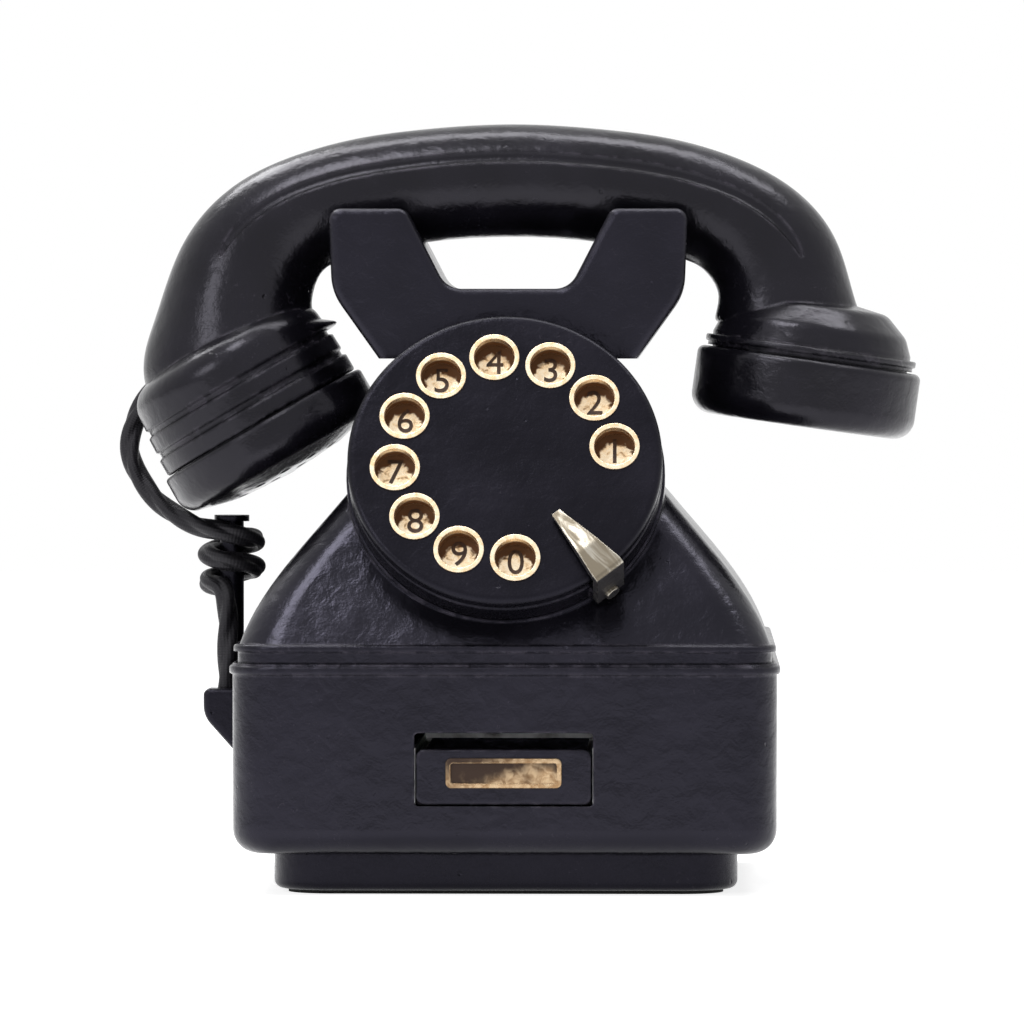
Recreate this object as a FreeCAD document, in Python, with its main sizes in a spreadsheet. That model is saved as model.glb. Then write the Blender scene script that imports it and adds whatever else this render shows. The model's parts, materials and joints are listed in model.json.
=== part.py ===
"""Rotary-dial desk telephone with a drawer, built piece by piece.

Millimetres and degrees, +Z up, the front looks along -Y.  The origin is the
centre of the felt that the telephone stands on.
"""
import FreeCAD, Part
import math
import os
import Sketcher

os.makedirs("parts", exist_ok=True)
Vector = FreeCAD.Vector
doc = FreeCAD.newDocument("Telephone")
sheet = doc.addObject("Spreadsheet::Sheet", "Sizes")

# Driving dimensions
SIZES = {
    # lower case and the plinth under it
    "felt_thick": 1.0,
    "plinth_height": 10.7,
    "plinth_width": 131.0,
    "plinth_depth": 134.0,
    "plinth_corner": 16.0,
    "case_width": 153.0,
    "case_depth": 156.0,
    "case_height": 53.5,
    "case_wall": 3.5,
    "case_corner": 13.0,
    "case_bottom_round": 7.0,
    "bead_height": 2.6,
    "bead_reach": 0.9,
    "bead_drop": 0.6,
    # upper case
    "skirt_height": 5.3,
    "cove_depth": 1.5,
    "ledge_height": 2.0,
    "ledge_step": 0.3,
    "shoulder_step": 2.0,
    "shoulder_rise": 79.5,
    "shoulder_top": 0.84,
    "shoulder_corner": 12.0,
    "slope_wall": 4.5,
    "neck_half_width": 30.0,
    "neck_front": 28.5,
    "neck_rear": 33.5,
    "neck_corner": 8.0,
    "spigot_height": 8.0,
    "spigot_half_width": 24.0,
    "spigot_half_depth": 20.0,
    # cradle
    "cradle_y": 4.0,
    "cradle_half_depth": 29.0,
    "cradle_height": 43.0,
    "cradle_gap": 0.5,
    "cradle_root": 37.0,
    "cradle_waist": 50.5,
    "cradle_waist_rise": 19.0,
    "prong_outer": 51.5,
    "prong_inner": 29.5,
    "window_half_width": 17.5,
    "window_floor": 20.0,
    "cradle_web": 5.0,
    "saddle_clearance": 0.5,
    "lift_clearance": 1.4,
    "slide_clearance": 0.6,
    "stem_radius": 5.0,
    "stem_length": 56.0,
    "bush_radius": 8.0,
    "bush_length": 15.0,
    # dial
    "dial_tilt": 25.0,
    "dial_rise": 46.7,
    "dial_out": 4.4,
    "dial_radius": 44.3,
    "boss_rim": 0.7,
    "boss_rise": 1.0,
    "boss_depth": 8.6,
    "screw_bite": 4.0,
    "web_thick": 5.0,
    "lip_height": 2.4,
    "lip_width": 2.4,
    "can_radius": 28.0,
    "can_wall": 2.0,
    "can_depth": 24.0,
    "plate_thick": 0.8,
    "wheel_gap": 0.6,
    "wheel_thick": 4.4,
    "wheel_round": 1.8,
    "hole_radius": 6.25,
    "hole_inset": 13.3,
    "first_hole": 6.0,
    "eyelet_wall": 0.45,
    "eyelet_flange": 0.8,
    "eyelet_rise": 0.5,
    "dial_shaft_radius": 3.0,
    "stop_angle": -51.0,
    "stop_width": 9.5,
    "stop_tip_width": 2.4,
    "stop_tip_inset": 21.3,
    "stop_leg_reach": 1.2,
    "stop_thick": 2.0,
    "stop_height": 3.4,
    "stop_clearance": 0.9,
    "gear_module": 0.7,
    "gear_teeth": 40.0,
    "pinion_teeth": 12.0,
    "gear_backlash": 0.14,
    "gear_depth": -8.0,
    "gear_thick": 2.0,
    "arbor_radius": 1.5,
    "arbor_angle": 200.0,
    "bearing_clearance": 0.3,
    "press_clearance": 0.03,
    "thread_clearance": 0.08,
    # handset
    "handset_x": 0.8,
    "crown_rise": 52.0,
    "crown_bend": 14.0,
    "crown_half_thick": 16.3,
    "crown_half_depth": 15.5,
    "bend_half_span": 45.8,
    "bend_rise": 12.0,
    "bend_radius": 34.0,
    "limb_left_thick": 24.0,
    "limb_left_depth": 21.0,
    "limb_right_thick": 21.2,
    "limb_right_depth": 19.5,
    "mouth_x": -65.9,
    "mouth_drop": 28.9,
    "mouth_tilt": 30.0,
    "ear_x": 84.0,
    "ear_drop": 19.0,
    "ear_tilt": 8.0,
    "cap_radius": 32.5,
    "cap_round": 6.0,
    "mouth_cap_length": 12.0,
    "ear_cap_length": 19.4,
    "cap_seat": 28.4,
    "cap_thread_gap": 0.3,
    "cup_radius": 31.2,
    "capsule_radius": 25.6,
    "capsule_gap": 0.3,
    "capsule_seat": 24.0,
    "sound_hole": 1.6,
    "crease_angle": 24.0,
    "crease_radius": 2.4,
    "crease_depth": 1.0,
    # drawer
    "drawer_half_width": 24.6,
    "drawer_bottom": 25.9,
    "drawer_height": 15.5,
    "drawer_length": 88.5,
    "drawer_wall": 1.5,
    "drawer_gap": 0.4,
    "slot_height": 4.6,
    "channel_sheet": 0.8,
    "pull_half_width": 16.25,
    "pull_bottom": 30.6,
    "pull_height": 8.4,
    "pull_thick": 1.4,
    "pull_rim": 1.3,
    # cord and what holds it
    "cord_diameter": 6.2,
    "peg_out": 4.7,
    "peg_y": 11.0,
    "peg_radius": 3.5,
    "peg_top": 105.0,
    "turn_clearance": 0.4,
    "turn_gap": 1.8,
    "turn_drop": 1.4,
    "drop_aside": 2.2,
    "turn_start_angle": 237.0,
    "turn_end_angle": 945.0,
    "drop_bend": 6.0,
    "scoop_top": 55.0,
    # chassis and ringer
    "chassis_z": 48.0,
    "chassis_thick": 2.0,
    "post_inset_x": 13.5,
    "post_inset_y": 14.0,
    "post_radius": 5.0,
    "gong_x": 29.5,
    "gong_y": 40.0,
    "gong_radius": 24.0,
    "gong_height": 17.5,
    "gong_wall": 1.8,
    "pivot_y": 9.0,
    "coil_x": 11.0,
    "coil_radius": 8.5,
    "ball_radius": 4.5,
    # line cord inlet
    "inlet_x": 45.0,
    "inlet_z": 27.0,
    "inlet_radius": 6.0,
    "inlet_bore": 3.5,
}
for row, (alias, number) in enumerate(SIZES.items(), start=1):
    sheet.set("A%d" % row, alias)
    sheet.set("B%d" % row, str(number))
    sheet.setAlias("B%d" % row, alias)
doc.recompute()


class Size:
    """A number that remembers the sheet formula it comes from."""

    def __init__(self, value, formula):
        self.value = float(value)
        self.formula = formula

    @staticmethod
    def of(other):
        """Return the argument as a Size; a plain number is its own formula."""
        if isinstance(other, Size):
            return other
        return Size(other, "(%.6f)" % float(other))

    def join(self, other, sign, value):
        """Return the Size that two formulas make with a sign between them."""
        return Size(value, "(%s %s %s)" % (self.formula, sign, other.formula))

    def __add__(self, other):
        other = Size.of(other)
        return self.join(other, "+", self.value + other.value)

    def __radd__(self, other):
        return Size.of(other) + self

    def __sub__(self, other):
        other = Size.of(other)
        return self.join(other, "-", self.value - other.value)

    def __rsub__(self, other):
        return Size.of(other) - self

    def __mul__(self, other):
        other = Size.of(other)
        return self.join(other, "*", self.value * other.value)

    def __rmul__(self, other):
        return Size.of(other) * self

    def __truediv__(self, other):
        other = Size.of(other)
        return self.join(other, "/", self.value / other.value)

    def __neg__(self):
        return Size(-self.value, "(0 - %s)" % self.formula)

    def sin(self):
        """Return the sine of this angle in degrees."""
        return Size(math.sin(math.radians(self.value)), "sin(%s)" % self.formula)

    def cos(self):
        """Return the cosine of this angle in degrees."""
        return Size(math.cos(math.radians(self.value)), "cos(%s)" % self.formula)


def size(alias):
    """Return the named size of the sheet."""
    return Size(float(sheet.get(alias)), "Sizes." + alias)


def bind(thing, prop, value):
    """Tie a property of a document object to a size."""
    thing.setExpression(prop, Size.of(value).formula)


class Sketch:
    """A constrained sketch on one of a body's origin planes."""

    def __init__(self, body, role, shift=(0, 0, 0), tilt=None):
        self.body = body
        self.obj = body.newObject("Sketcher::SketchObject", body.Name + "_sketch")
        plane = [item for item in body.Origin.OriginFeatures if item.Role == role][0]
        self.obj.AttachmentSupport = [(plane, "")]
        self.obj.MapMode = "FlatFace"
        shift = [Size.of(part) for part in shift]
        turn = FreeCAD.Rotation()
        if tilt is not None:
            turn = FreeCAD.Rotation(Vector(1, 0, 0), tilt.value)
        self.obj.AttachmentOffset = FreeCAD.Placement(Vector(*[part.value for part in shift]), turn)
        for axis, part in zip("xyz", shift):
            bind(self.obj, "AttachmentOffset.Base." + axis, part)
        if tilt is not None:
            bind(self.obj, "AttachmentOffset.Rotation.Angle", tilt)

    def pin(self, curve, end, x, y):
        """Hold one point of a curve at a place given by two sizes."""
        for kind, axis, place in (("DistanceX", -2, x), ("DistanceY", -1, y)):
            place = Size.of(place)
            if abs(place.value) < 1e-9:
                self.obj.addConstraint(Sketcher.Constraint("PointOnObject", curve, end, axis))
                continue
            number = self.obj.addConstraint(
                Sketcher.Constraint(kind, -1, 1, curve, end, place.value))
            self.obj.setExpression("Constraints[%d]" % number, place.formula)

    def circle(self, x, y, radius):
        """Add a circle."""
        x, y, radius = Size.of(x), Size.of(y), Size.of(radius)
        curve = self.obj.addGeometry(
            Part.Circle(Vector(x.value, y.value, 0), Vector(0, 0, 1), radius.value), False)
        number = self.obj.addConstraint(Sketcher.Constraint("Radius", curve, radius.value))
        self.obj.setExpression("Constraints[%d]" % number, radius.formula)
        self.pin(curve, 3, x, y)
        return self

    def profile(self, corners):
        """Add a closed outline; a corner is (x, y) or, if it is rounded, (x, y, radius)."""
        sizes = [[Size.of(part) for part in corner] for corner in corners]
        spots = [Vector(corner[0].value, corner[1].value, 0) for corner in sizes]
        count = len(spots)
        ends = []
        for index in range(count):
            here = spots[index]
            if len(sizes[index]) < 3:
                ends.append((here, here, None, None))
                continue
            radius = sizes[index][2].value
            back = (spots[index - 1] - here).normalize()
            ahead = (spots[(index + 1) % count] - here).normalize()
            half = back.getAngle(ahead) / 2.0
            middle = here + (back + ahead).normalize() * (radius / math.sin(half))
            reach = radius / math.tan(half)
            ends.append((here + back * reach, here + ahead * reach, middle, back.cross(ahead).z < 0))
        lines = []
        for index in range(count):
            start = ends[index][1]
            stop = ends[(index + 1) % count][0]
            lines.append(self.obj.addGeometry(Part.LineSegment(start, stop), False))
        for index in range(count):
            before = lines[index - 1]
            after = lines[index]
            entry, leave, middle, left_turn = ends[index]
            if middle is None:
                self.obj.addConstraint(Sketcher.Constraint("Coincident", before, 2, after, 1))
                self.pin(after, 1, sizes[index][0], sizes[index][1])
                continue
            first, last = (entry, leave) if left_turn else (leave, entry)
            radius = sizes[index][2]
            low = math.atan2(first.y - middle.y, first.x - middle.x)
            high = math.atan2(last.y - middle.y, last.x - middle.x)
            whole = Part.Circle(middle, Vector(0, 0, 1), radius.value)
            arc = self.obj.addGeometry(Part.ArcOfCircle(whole, low, high), False)
            arc_in, arc_out = (1, 2) if left_turn else (2, 1)
            self.obj.addConstraint(Sketcher.Constraint("Tangent", before, 2, arc, arc_in))
            self.obj.addConstraint(Sketcher.Constraint("Tangent", arc, arc_out, after, 1))
            number = self.obj.addConstraint(Sketcher.Constraint("Radius", arc, radius.value))
            self.obj.setExpression("Constraints[%d]" % number, radius.formula)
            mark = self.obj.addGeometry(Part.Point(spots[index]), True)
            self.pin(mark, 1, sizes[index][0], sizes[index][1])
            self.obj.addConstraint(Sketcher.Constraint("PointOnObject", mark, 1, before))
            self.obj.addConstraint(Sketcher.Constraint("PointOnObject", mark, 1, after))
        return self

    def rectangle(self, x_low, y_low, x_high, y_high, radius=None):
        """Add a rectangle, with rounded corners if a radius is given."""
        round_off = () if radius is None else (radius,)
        return self.profile([
            (x_low, y_low) + round_off,
            (x_high, y_low) + round_off,
            (x_high, y_high) + round_off,
            (x_low, y_high) + round_off])


nodes = {}


def new_body(name, keep=True):
    """Add a body; a kept one is a piece of the telephone under that name."""
    body = doc.addObject("PartDesign::Body", name)
    body.Label = name
    if keep:
        nodes[name] = body
    return body


def feature(body, kind, cuts=False, **settings):
    """Add a feature to a body, and stop if a cut takes nothing away."""
    before = body.Shape.Volume if cuts else 0.0
    item = body.newObject("PartDesign::" + kind, body.Name + "_" + kind.lower())
    for prop, value in settings.items():
        if isinstance(value, Size):
            bind(item, prop, value)
        else:
            setattr(item, prop, value)
    body.Tip = item
    doc.recompute()
    if "Invalid" in item.State or "Error" in item.State or item.Shape.isNull():
        raise RuntimeError("feature failed: %s in %s" % (item.Name, body.Label))
    if cuts and not body.Shape.Volume < before - 1e-6:
        raise RuntimeError("cut takes nothing away: %s in %s" % (item.Name, body.Label))
    return item


def pad(sketch, length, back=False):
    """Raise a sketch along its normal, or against it."""
    return feature(sketch.body, "Pad", Profile=sketch.obj, Length=Size.of(length), Reversed=back)


def pocket(sketch, length, ahead=False):
    """Cut a sketch against its normal, or along it."""
    return feature(sketch.body, "Pocket", cuts=True, Profile=sketch.obj,
                   Length=Size.of(length), Reversed=ahead)


def revolve(sketch):
    """Turn a sketch about its own upright axis."""
    return feature(sketch.body, "Revolution", Profile=sketch.obj,
                   ReferenceAxis=(sketch.obj, ["V_Axis"]), Angle=360.0)


def polar(body, originals, count, angle):
    """Repeat features about the body's upright axis."""
    axis = [item for item in body.Origin.OriginFeatures if item.Role == "Z_Axis"][0]
    return feature(body, "PolarPattern", Originals=originals, Axis=(axis, [""]),
                   Angle=angle, Occurrences=count)


def loft(sketches, cut=False):
    """Blend a row of sketches into one form, or cut that form away."""
    kind = "SubtractiveLoft" if cut else "AdditiveLoft"
    return feature(sketches[0].body, kind, cuts=cut, Profile=sketches[0].obj,
                   Sections=[item.obj for item in sketches[1:]])


def round_edges(body, radius, choose):
    """Round the edges that a test picks from the body's present shape."""
    tip = body.Tip
    names = []
    for index, edge in enumerate(tip.Shape.Edges, start=1):
        if choose(edge):
            names.append("Edge%d" % index)
    if not names:
        raise RuntimeError("no edge to round in " + body.Label)
    return feature(body, "Fillet", Base=(tip, names), Radius=Size.of(radius))


def level(edge, axis, place):
    """Tell whether an edge lies wholly at one place along an axis."""
    low = getattr(edge.BoundBox, axis + "Min")
    high = getattr(edge.BoundBox, axis + "Max")
    return abs(low - place) < 1e-3 and abs(high - place) < 1e-3


def put(thing, x, y, z):
    """Tie an object's place to three sizes."""
    for axis, part in zip("xyz", (x, y, z)):
        bind(thing, "Placement.Base." + axis, part)


def turn(thing, axis, angle):
    """Tie an object's rotation about X, Y or Z to an angle."""
    direction = {"x": (1, 0, 0), "y": (0, 1, 0), "z": (0, 0, 1)}[axis]
    base = thing.Placement.Base
    thing.Placement = FreeCAD.Placement(base, FreeCAD.Rotation(Vector(*direction), Size.of(angle).value))
    for name, part in zip("xyz", direction):
        bind(thing, "Placement.Rotation.Axis." + name, part)
    bind(thing, "Placement.Rotation.Angle", angle)


def solid(kind, name, place, **sizes):
    """Add a Part primitive at a place."""
    item = doc.addObject("Part::" + kind, name)
    item.Label = name
    for prop, value in sizes.items():
        bind(item, prop, value)
    put(item, *place)
    return item


def box(name, low, high):
    """Add a block between two corners."""
    spans = [Size.of(high[index]) - low[index] for index in range(3)]
    return solid("Box", name, low, Length=spans[0], Width=spans[1], Height=spans[2])


def cylinder(name, radius, place, height, axis="z"):
    """Add a cylinder that starts at a place and runs along X, Y or Z."""
    item = solid("Cylinder", name, place, Radius=radius, Height=height)
    if axis == "x":
        turn(item, "y", 90)
    if axis == "y":
        turn(item, "x", -90)
    return item


def fuse(name, items):
    """Join solids into one."""
    item = doc.addObject("Part::MultiFuse", name)
    item.Label = name
    item.Shapes = items
    return item


def cut(name, base, tool):
    """Cut one solid from another."""
    item = doc.addObject("Part::Cut", name)
    item.Label = name
    item.Base = base
    item.Tool = tool
    return item


def group(name, items):
    """Keep several loose solids in one node."""
    item = doc.addObject("Part::Compound", name)
    item.Label = name
    item.Links = items
    nodes[name] = item
    return item


def keep(name, item):
    """Make an object a piece of the telephone under its name."""
    item.Label = name
    nodes[name] = item
    return item


# Levels that several pieces share
case_bottom = size("felt_thick") + size("plinth_height")
case_top = case_bottom + size("case_height")
shoulder_z = case_top + size("skirt_height")
neck_z = shoulder_z + size("shoulder_rise")
dial_z = shoulder_z + size("dial_rise")
crown_z = neck_z + size("crown_rise")
bend_z = neck_z + size("bend_rise")
mouth_z = neck_z - size("mouth_drop")
ear_z = neck_z - size("ear_drop")
half_width = size("case_width") / 2
half_depth = size("case_depth") / 2
peg_x = -half_width - size("peg_out")
cord_radius = size("cord_diameter") / 2
turn_radius = size("peg_radius") + cord_radius + size("turn_clearance")
turn_pitch = size("cord_diameter") + size("turn_gap")
turn_top = size("peg_top") - size("turn_drop") - cord_radius
hole_circle = size("dial_radius") - size("hole_inset")
screw_circle = size("dial_radius") - 8.3
stop_tip = size("dial_radius") - size("stop_tip_inset")
stop_leg = size("dial_radius") + size("stop_leg_reach")
wall = size("case_wall")
floor_z = case_bottom + wall
chassis_top = size("chassis_z") + size("chassis_thick")
cradle_bottom = neck_z + size("cradle_gap")
cradle_y = size("cradle_y")
post_x = half_width - size("post_inset_x")
post_y = half_depth - size("post_inset_y")
post_corners = [(side * post_x, end * post_y) for side in (-1, 1) for end in (-1, 1)]
screw_corners = [(side * 50, end * 50) for side in (-1, 1) for end in (-1, 1)]


def across(body, z, x_half, y_half, radius):
    """Return a sketch of a centred rounded rectangle at a height."""
    return Sketch(body, "XY_Plane", (0, 0, z)).rectangle(-x_half, -y_half, x_half, y_half, radius)


# Felt, plinth and the screws that hold it
felt = new_body("base_felt")
pad(across(felt, 0, size("plinth_width") / 2 - 4, size("plinth_depth") / 2 - 4, size("plinth_corner") - 4),
    size("felt_thick"))

plinth = new_body("plinth")
pad(across(plinth, size("felt_thick"), size("plinth_width") / 2, size("plinth_depth") / 2,
           size("plinth_corner")), size("plinth_height"))
round_edges(plinth, 2.5, lambda edge: level(edge, "Z", size("felt_thick").value))
screw_head = Sketch(plinth, "XY_Plane", (0, 0, size("felt_thick")))
screw_way = Sketch(plinth, "XY_Plane", (0, 0, size("felt_thick")))
for x, y in screw_corners:
    screw_head.circle(x, y, 3.9)
    screw_way.circle(x, y, 2.0)
pocket(screw_head, 2.6, ahead=True)
pocket(screw_way, size("plinth_height") + 1, ahead=True)

base_screws = new_body("base_screws")
head = Sketch(base_screws, "XY_Plane", (0, 0, size("felt_thick") + 0.4))
shank = Sketch(base_screws, "XY_Plane", (0, 0, size("felt_thick") + 2.6))
for x, y in screw_corners:
    head.circle(x, y, 3.6)
    shank.circle(x, y, 1.95)
pad(head, 2.2)
pad(shank, case_bottom + wall - size("felt_thick") - 2.8)

# Lower case: box, bead, corner posts and the openings in its walls
lower = new_body("lower_case")
pad(across(lower, case_bottom, half_width, half_depth, size("case_corner")), size("case_height"))
bead_z = case_top - size("bead_drop") - size("bead_height")
pad(across(lower, bead_z, half_width + size("bead_reach"), half_depth + size("bead_reach"),
           size("case_corner") + size("bead_reach")), size("bead_height"))
round_edges(lower, size("case_bottom_round"), lambda edge: level(edge, "Z", case_bottom.value))
round_edges(lower, 0.4, lambda edge: level(edge, "Z", case_top.value))
bead_out = (half_width + size("bead_reach")).value
bead_end = (half_depth + size("bead_reach")).value


def on_bead(edge):
    """Tell whether an edge is one of the bead's outer edges."""
    low = bead_z.value
    high = (bead_z + size("bead_height")).value
    if not (level(edge, "Z", low) or level(edge, "Z", high)):
        return False
    middle = edge.valueAt((edge.FirstParameter + edge.LastParameter) / 2)
    straight = abs(abs(middle.x) - bead_out) < 0.01 or abs(abs(middle.y) - bead_end) < 0.01
    arc_far = math.hypot(bead_out, bead_end) - math.hypot(middle.x, middle.y) < 5.9
    return straight or (arc_far and edge.Curve.TypeId == "Part::GeomCircle"
                        and abs(edge.Curve.Radius - (size("case_corner") + size("bead_reach")).value) < 0.01)


round_edges(lower, size("bead_reach") * 0.95, on_bead)
pocket(across(lower, case_top, half_width - wall, half_depth - wall, size("case_corner") - wall),
       size("case_height") - wall)
posts = Sketch(lower, "XY_Plane", (0, 0, floor_z))
post_holes = Sketch(lower, "XY_Plane", (0, 0, size("chassis_z")))
floor_holes = Sketch(lower, "XY_Plane", (0, 0, floor_z))
for x, y in post_corners:
    posts.circle(x, y, size("post_radius"))
    post_holes.circle(x, y, 1.6)
for x, y in screw_corners:
    floor_holes.circle(x, y, 2.0)
pad(posts, size("chassis_z") - floor_z)
pocket(post_holes, 14)
pocket(floor_holes, wall + 1)
opening = size("drawer_half_width") + size("drawer_gap")
opening_low = size("drawer_bottom") - size("drawer_gap")
opening_top = size("drawer_bottom") + size("drawer_height") + size("slot_height")
pocket(Sketch(lower, "XZ_Plane", (0, 0, half_depth + 1)).rectangle(
    -opening, opening_low, opening, opening_top, 1.2), wall + 2)
pocket(Sketch(lower, "XZ_Plane", (0, 0, -half_depth - 1)).circle(
    size("inlet_x"), size("inlet_z"), size("inlet_radius") + size("press_clearance")), wall + 2, ahead=True)
drop_y = size("peg_y") - turn_radius - size("drop_aside")
pocket(Sketch(lower, "YZ_Plane", (0, 0, -half_width - 1)).circle(drop_y, 46, 4.1), wall + 2, ahead=True)
foot_holes = Sketch(lower, "YZ_Plane", (0, 0, -half_width - 1))
for z in (45, 53):
    foot_holes.circle(size("peg_y") + 9, z, 1.3)
pocket(foot_holes, wall + 2, ahead=True)

# Upper case: skirt, sloping shoulders, dial boss and the spigot that guides the cradle
upper = new_body("upper_case")
cove = size("cove_depth")
pad(across(upper, case_top, half_width - cove, half_depth - cove, size("case_corner") - cove),
    size("skirt_height"))
step = size("ledge_step")
pad(across(upper, shoulder_z - size("ledge_height"), half_width - step, half_depth - step,
           size("case_corner") - step), size("ledge_height"))
round_edges(upper, 1.0, lambda edge: level(edge, "Z", shoulder_z.value))


def shoulder(body, share, inset, z=None):
    """Return the sketch of the sloping form a share of the way up from the ledge to the neck."""
    climb = Size.of(share) / size("shoulder_top")
    if climb.value < 1.0:
        sides = (1 - climb) / 2 + (1 + (climb * 180).cos()) / 4
    else:
        sides = Size.of(0)
    wide = half_width - size("shoulder_step")
    deep = half_depth - size("shoulder_step")
    x_half = size("neck_half_width") + (wide - size("neck_half_width")) * sides - inset
    y_low = -deep + (deep - size("neck_front")) * share + inset
    y_high = deep - (deep - size("neck_rear")) * share - inset
    corner = size("shoulder_corner") - (size("shoulder_corner") - size("neck_corner")) * share - inset / 2
    height = shoulder_z + size("shoulder_rise") * share if z is None else z
    return Sketch(body, "XY_Plane", (0, 0, height)).rectangle(-x_half, y_low, x_half, y_high, corner)


SHARES = (0.0, 0.08, 0.2, 0.36, 0.53, 0.7, 0.85, 1.0)
loft([shoulder(upper, share, 0) for share in SHARES])
pad(Sketch(upper, "XY_Plane", (0, 0, neck_z)).rectangle(
    -size("spigot_half_width"), cradle_y - size("spigot_half_depth"),
    size("spigot_half_width"), cradle_y + size("spigot_half_depth"), 6.0), size("spigot_height"))
dial_share = (dial_z - shoulder_z) / size("shoulder_rise")
front_deep = half_depth - size("shoulder_step")
dial_y = -front_deep + (front_deep - size("neck_front")) * dial_share - size("dial_out")
tilt = size("dial_tilt")


def on_dial(body, out):
    """Return an empty sketch square to the dial axis, a distance out from the case front."""
    out = Size.of(out)
    return Sketch(body, "XZ_Plane",
                  (0, dial_z + out * tilt.sin(), -dial_y + out * tilt.cos()), -tilt)


boss_radius = size("dial_radius") + size("boss_rim")
pad(on_dial(upper, size("boss_rise") - size("boss_depth")).circle(0, 0, boss_radius), size("boss_depth"))
inner_shares = SHARES[:-1] + (0.945,)
loft([shoulder(upper, share, size("slope_wall")) for share in inner_shares], cut=True)
pocket(across(upper, case_top, half_width - size("shoulder_step") - size("slope_wall"),
              half_depth - size("shoulder_step") - size("slope_wall"),
              size("shoulder_corner") - size("slope_wall") / 2), size("skirt_height"), ahead=True)
pocket(on_dial(upper, size("boss_rise")).circle(0, 0, size("can_radius") + 0.6), 34)
boss_screws = on_dial(upper, size("boss_rise"))
SCREW_ANGLES = (60, 180, 300)
for angle in SCREW_ANGLES:
    boss_screws.circle(screw_circle * math.cos(math.radians(angle)),
                       screw_circle * math.sin(math.radians(angle)), 1.55)
pocket(boss_screws, size("screw_bite") + 8)
pocket(Sketch(upper, "XY_Plane", (0, 0, neck_z + size("spigot_height"))).circle(
    0, cradle_y, size("bush_radius") + size("press_clearance")), 20)

# Pieces of the dial are drawn on their own axis, which then tilts with the case front


def dial_body(name):
    """Add a piece whose upright axis is the dial axis."""
    body = new_body(name)
    put(body, 0, dial_y, dial_z)
    turn(body, "x", 90 - tilt)
    return body


def ring(body, corners):
    """Turn an outline of radius and height pairs about the body's upright axis."""
    return revolve(Sketch(body, "XZ_Plane").profile(corners))


def polar_spot(radius, angle):
    """Return the two coordinates of a spot on a circle."""
    angle = Size.of(angle)
    return radius * angle.cos(), radius * angle.sin()


web_low = size("boss_rise")
web_top = web_low + size("web_thick")
can_inner = size("can_radius") - size("can_wall")
shaft_hole = size("dial_shaft_radius") + size("bearing_clearance")
lip_inner = size("dial_radius") - size("lip_width")
lip_top = web_top + size("lip_height")
dial_case = dial_body("dial_case")
ring(dial_case, [
    (shaft_hole, -2), (8, -2), (8, web_low), (can_inner, web_low), (can_inner, -size("can_depth")),
    (size("can_radius"), -size("can_depth")), (size("can_radius"), web_low),
    (size("dial_radius"), web_low, 0.6), (size("dial_radius"), lip_top, 0.8), (lip_inner, lip_top),
    (lip_inner, web_top), (shaft_hole, web_top)])


def radial_block(body, out, r_low, r_high, half, angle):
    """Return a sketch of a block that points outward at an angle."""
    angle = Size.of(angle)
    corners = []
    for radius, side in ((r_low, -1), (r_high, -1), (r_high, 1), (r_low, 1)):
        aside = Size.of(half) * side
        x = radius * angle.cos() - aside * angle.sin()
        y = radius * angle.sin() + aside * angle.cos()
        corners.append((x, y))
    return Sketch(body, "XY_Plane", (0, 0, out)).profile(corners)


pad(radial_block(dial_case, web_low, size("dial_radius") - 1.5, stop_leg,
                 size("stop_width") / 2, size("stop_angle")), size("web_thick") + 1)
counterbores = Sketch(dial_case, "XY_Plane", (0, 0, web_top))
screw_ways = Sketch(dial_case, "XY_Plane", (0, 0, web_top))
for angle in SCREW_ANGLES:
    counterbores.circle(*polar_spot(screw_circle, angle), 3.2)
    screw_ways.circle(*polar_spot(screw_circle, angle), 1.6)
pocket(counterbores, 1.9)
pocket(screw_ways, size("web_thick") + 2)
gear_pitch = size("gear_module") * size("gear_teeth") / 2
pinion_pitch = size("gear_module") * size("pinion_teeth") / 2
arbor_x, arbor_y = polar_spot(gear_pitch + pinion_pitch, size("arbor_angle"))
arbor_hole = size("arbor_radius") + size("bearing_clearance")
pocket(Sketch(dial_case, "XY_Plane", (0, 0, web_low)).circle(arbor_x, arbor_y, arbor_hole), 3, ahead=True)

dial_screws = dial_body("dial_screws")
heads = Sketch(dial_screws, "XY_Plane", (0, 0, web_top - 1.9))
shanks = Sketch(dial_screws, "XY_Plane", (0, 0, web_top - 1.9))
for angle in SCREW_ANGLES:
    heads.circle(*polar_spot(screw_circle, angle), 3.0)
    shanks.circle(*polar_spot(screw_circle, angle), 1.5)
pad(heads, 1.8)
pad(shanks, size("web_thick") - 1.9 + size("screw_bite") - 0.3, back=True)

number_plate = dial_body("number_plate")
pad(Sketch(number_plate, "XY_Plane", (0, 0, web_top)).circle(0, 0, lip_inner - 0.2).circle(0, 0, 5.0),
    size("plate_thick"))

wheel_low = lip_top + size("wheel_gap")
wheel_top = wheel_low + size("wheel_thick")
hub_low = web_top + size("plate_thick") + 0.3
shaft_top = wheel_top - 2.4
shaft_bore = size("dial_shaft_radius") + size("press_clearance")
wheel = dial_body("finger_wheel")
ring(wheel, [
    (0, shaft_top), (shaft_bore, shaft_top), (shaft_bore, hub_low), (8, hub_low), (8, wheel_low),
    (size("dial_radius"), wheel_low, 0.8), (size("dial_radius"), wheel_top, size("wheel_round")),
    (0, wheel_top)])
hole_x, hole_y = polar_spot(hole_circle, size("first_hole"))
one_hole = pocket(Sketch(wheel, "XY_Plane", (0, 0, wheel_top)).circle(hole_x, hole_y, size("hole_radius")),
                  size("wheel_thick") + 1)
polar(wheel, [one_hole], 10, 270.0)

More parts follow.
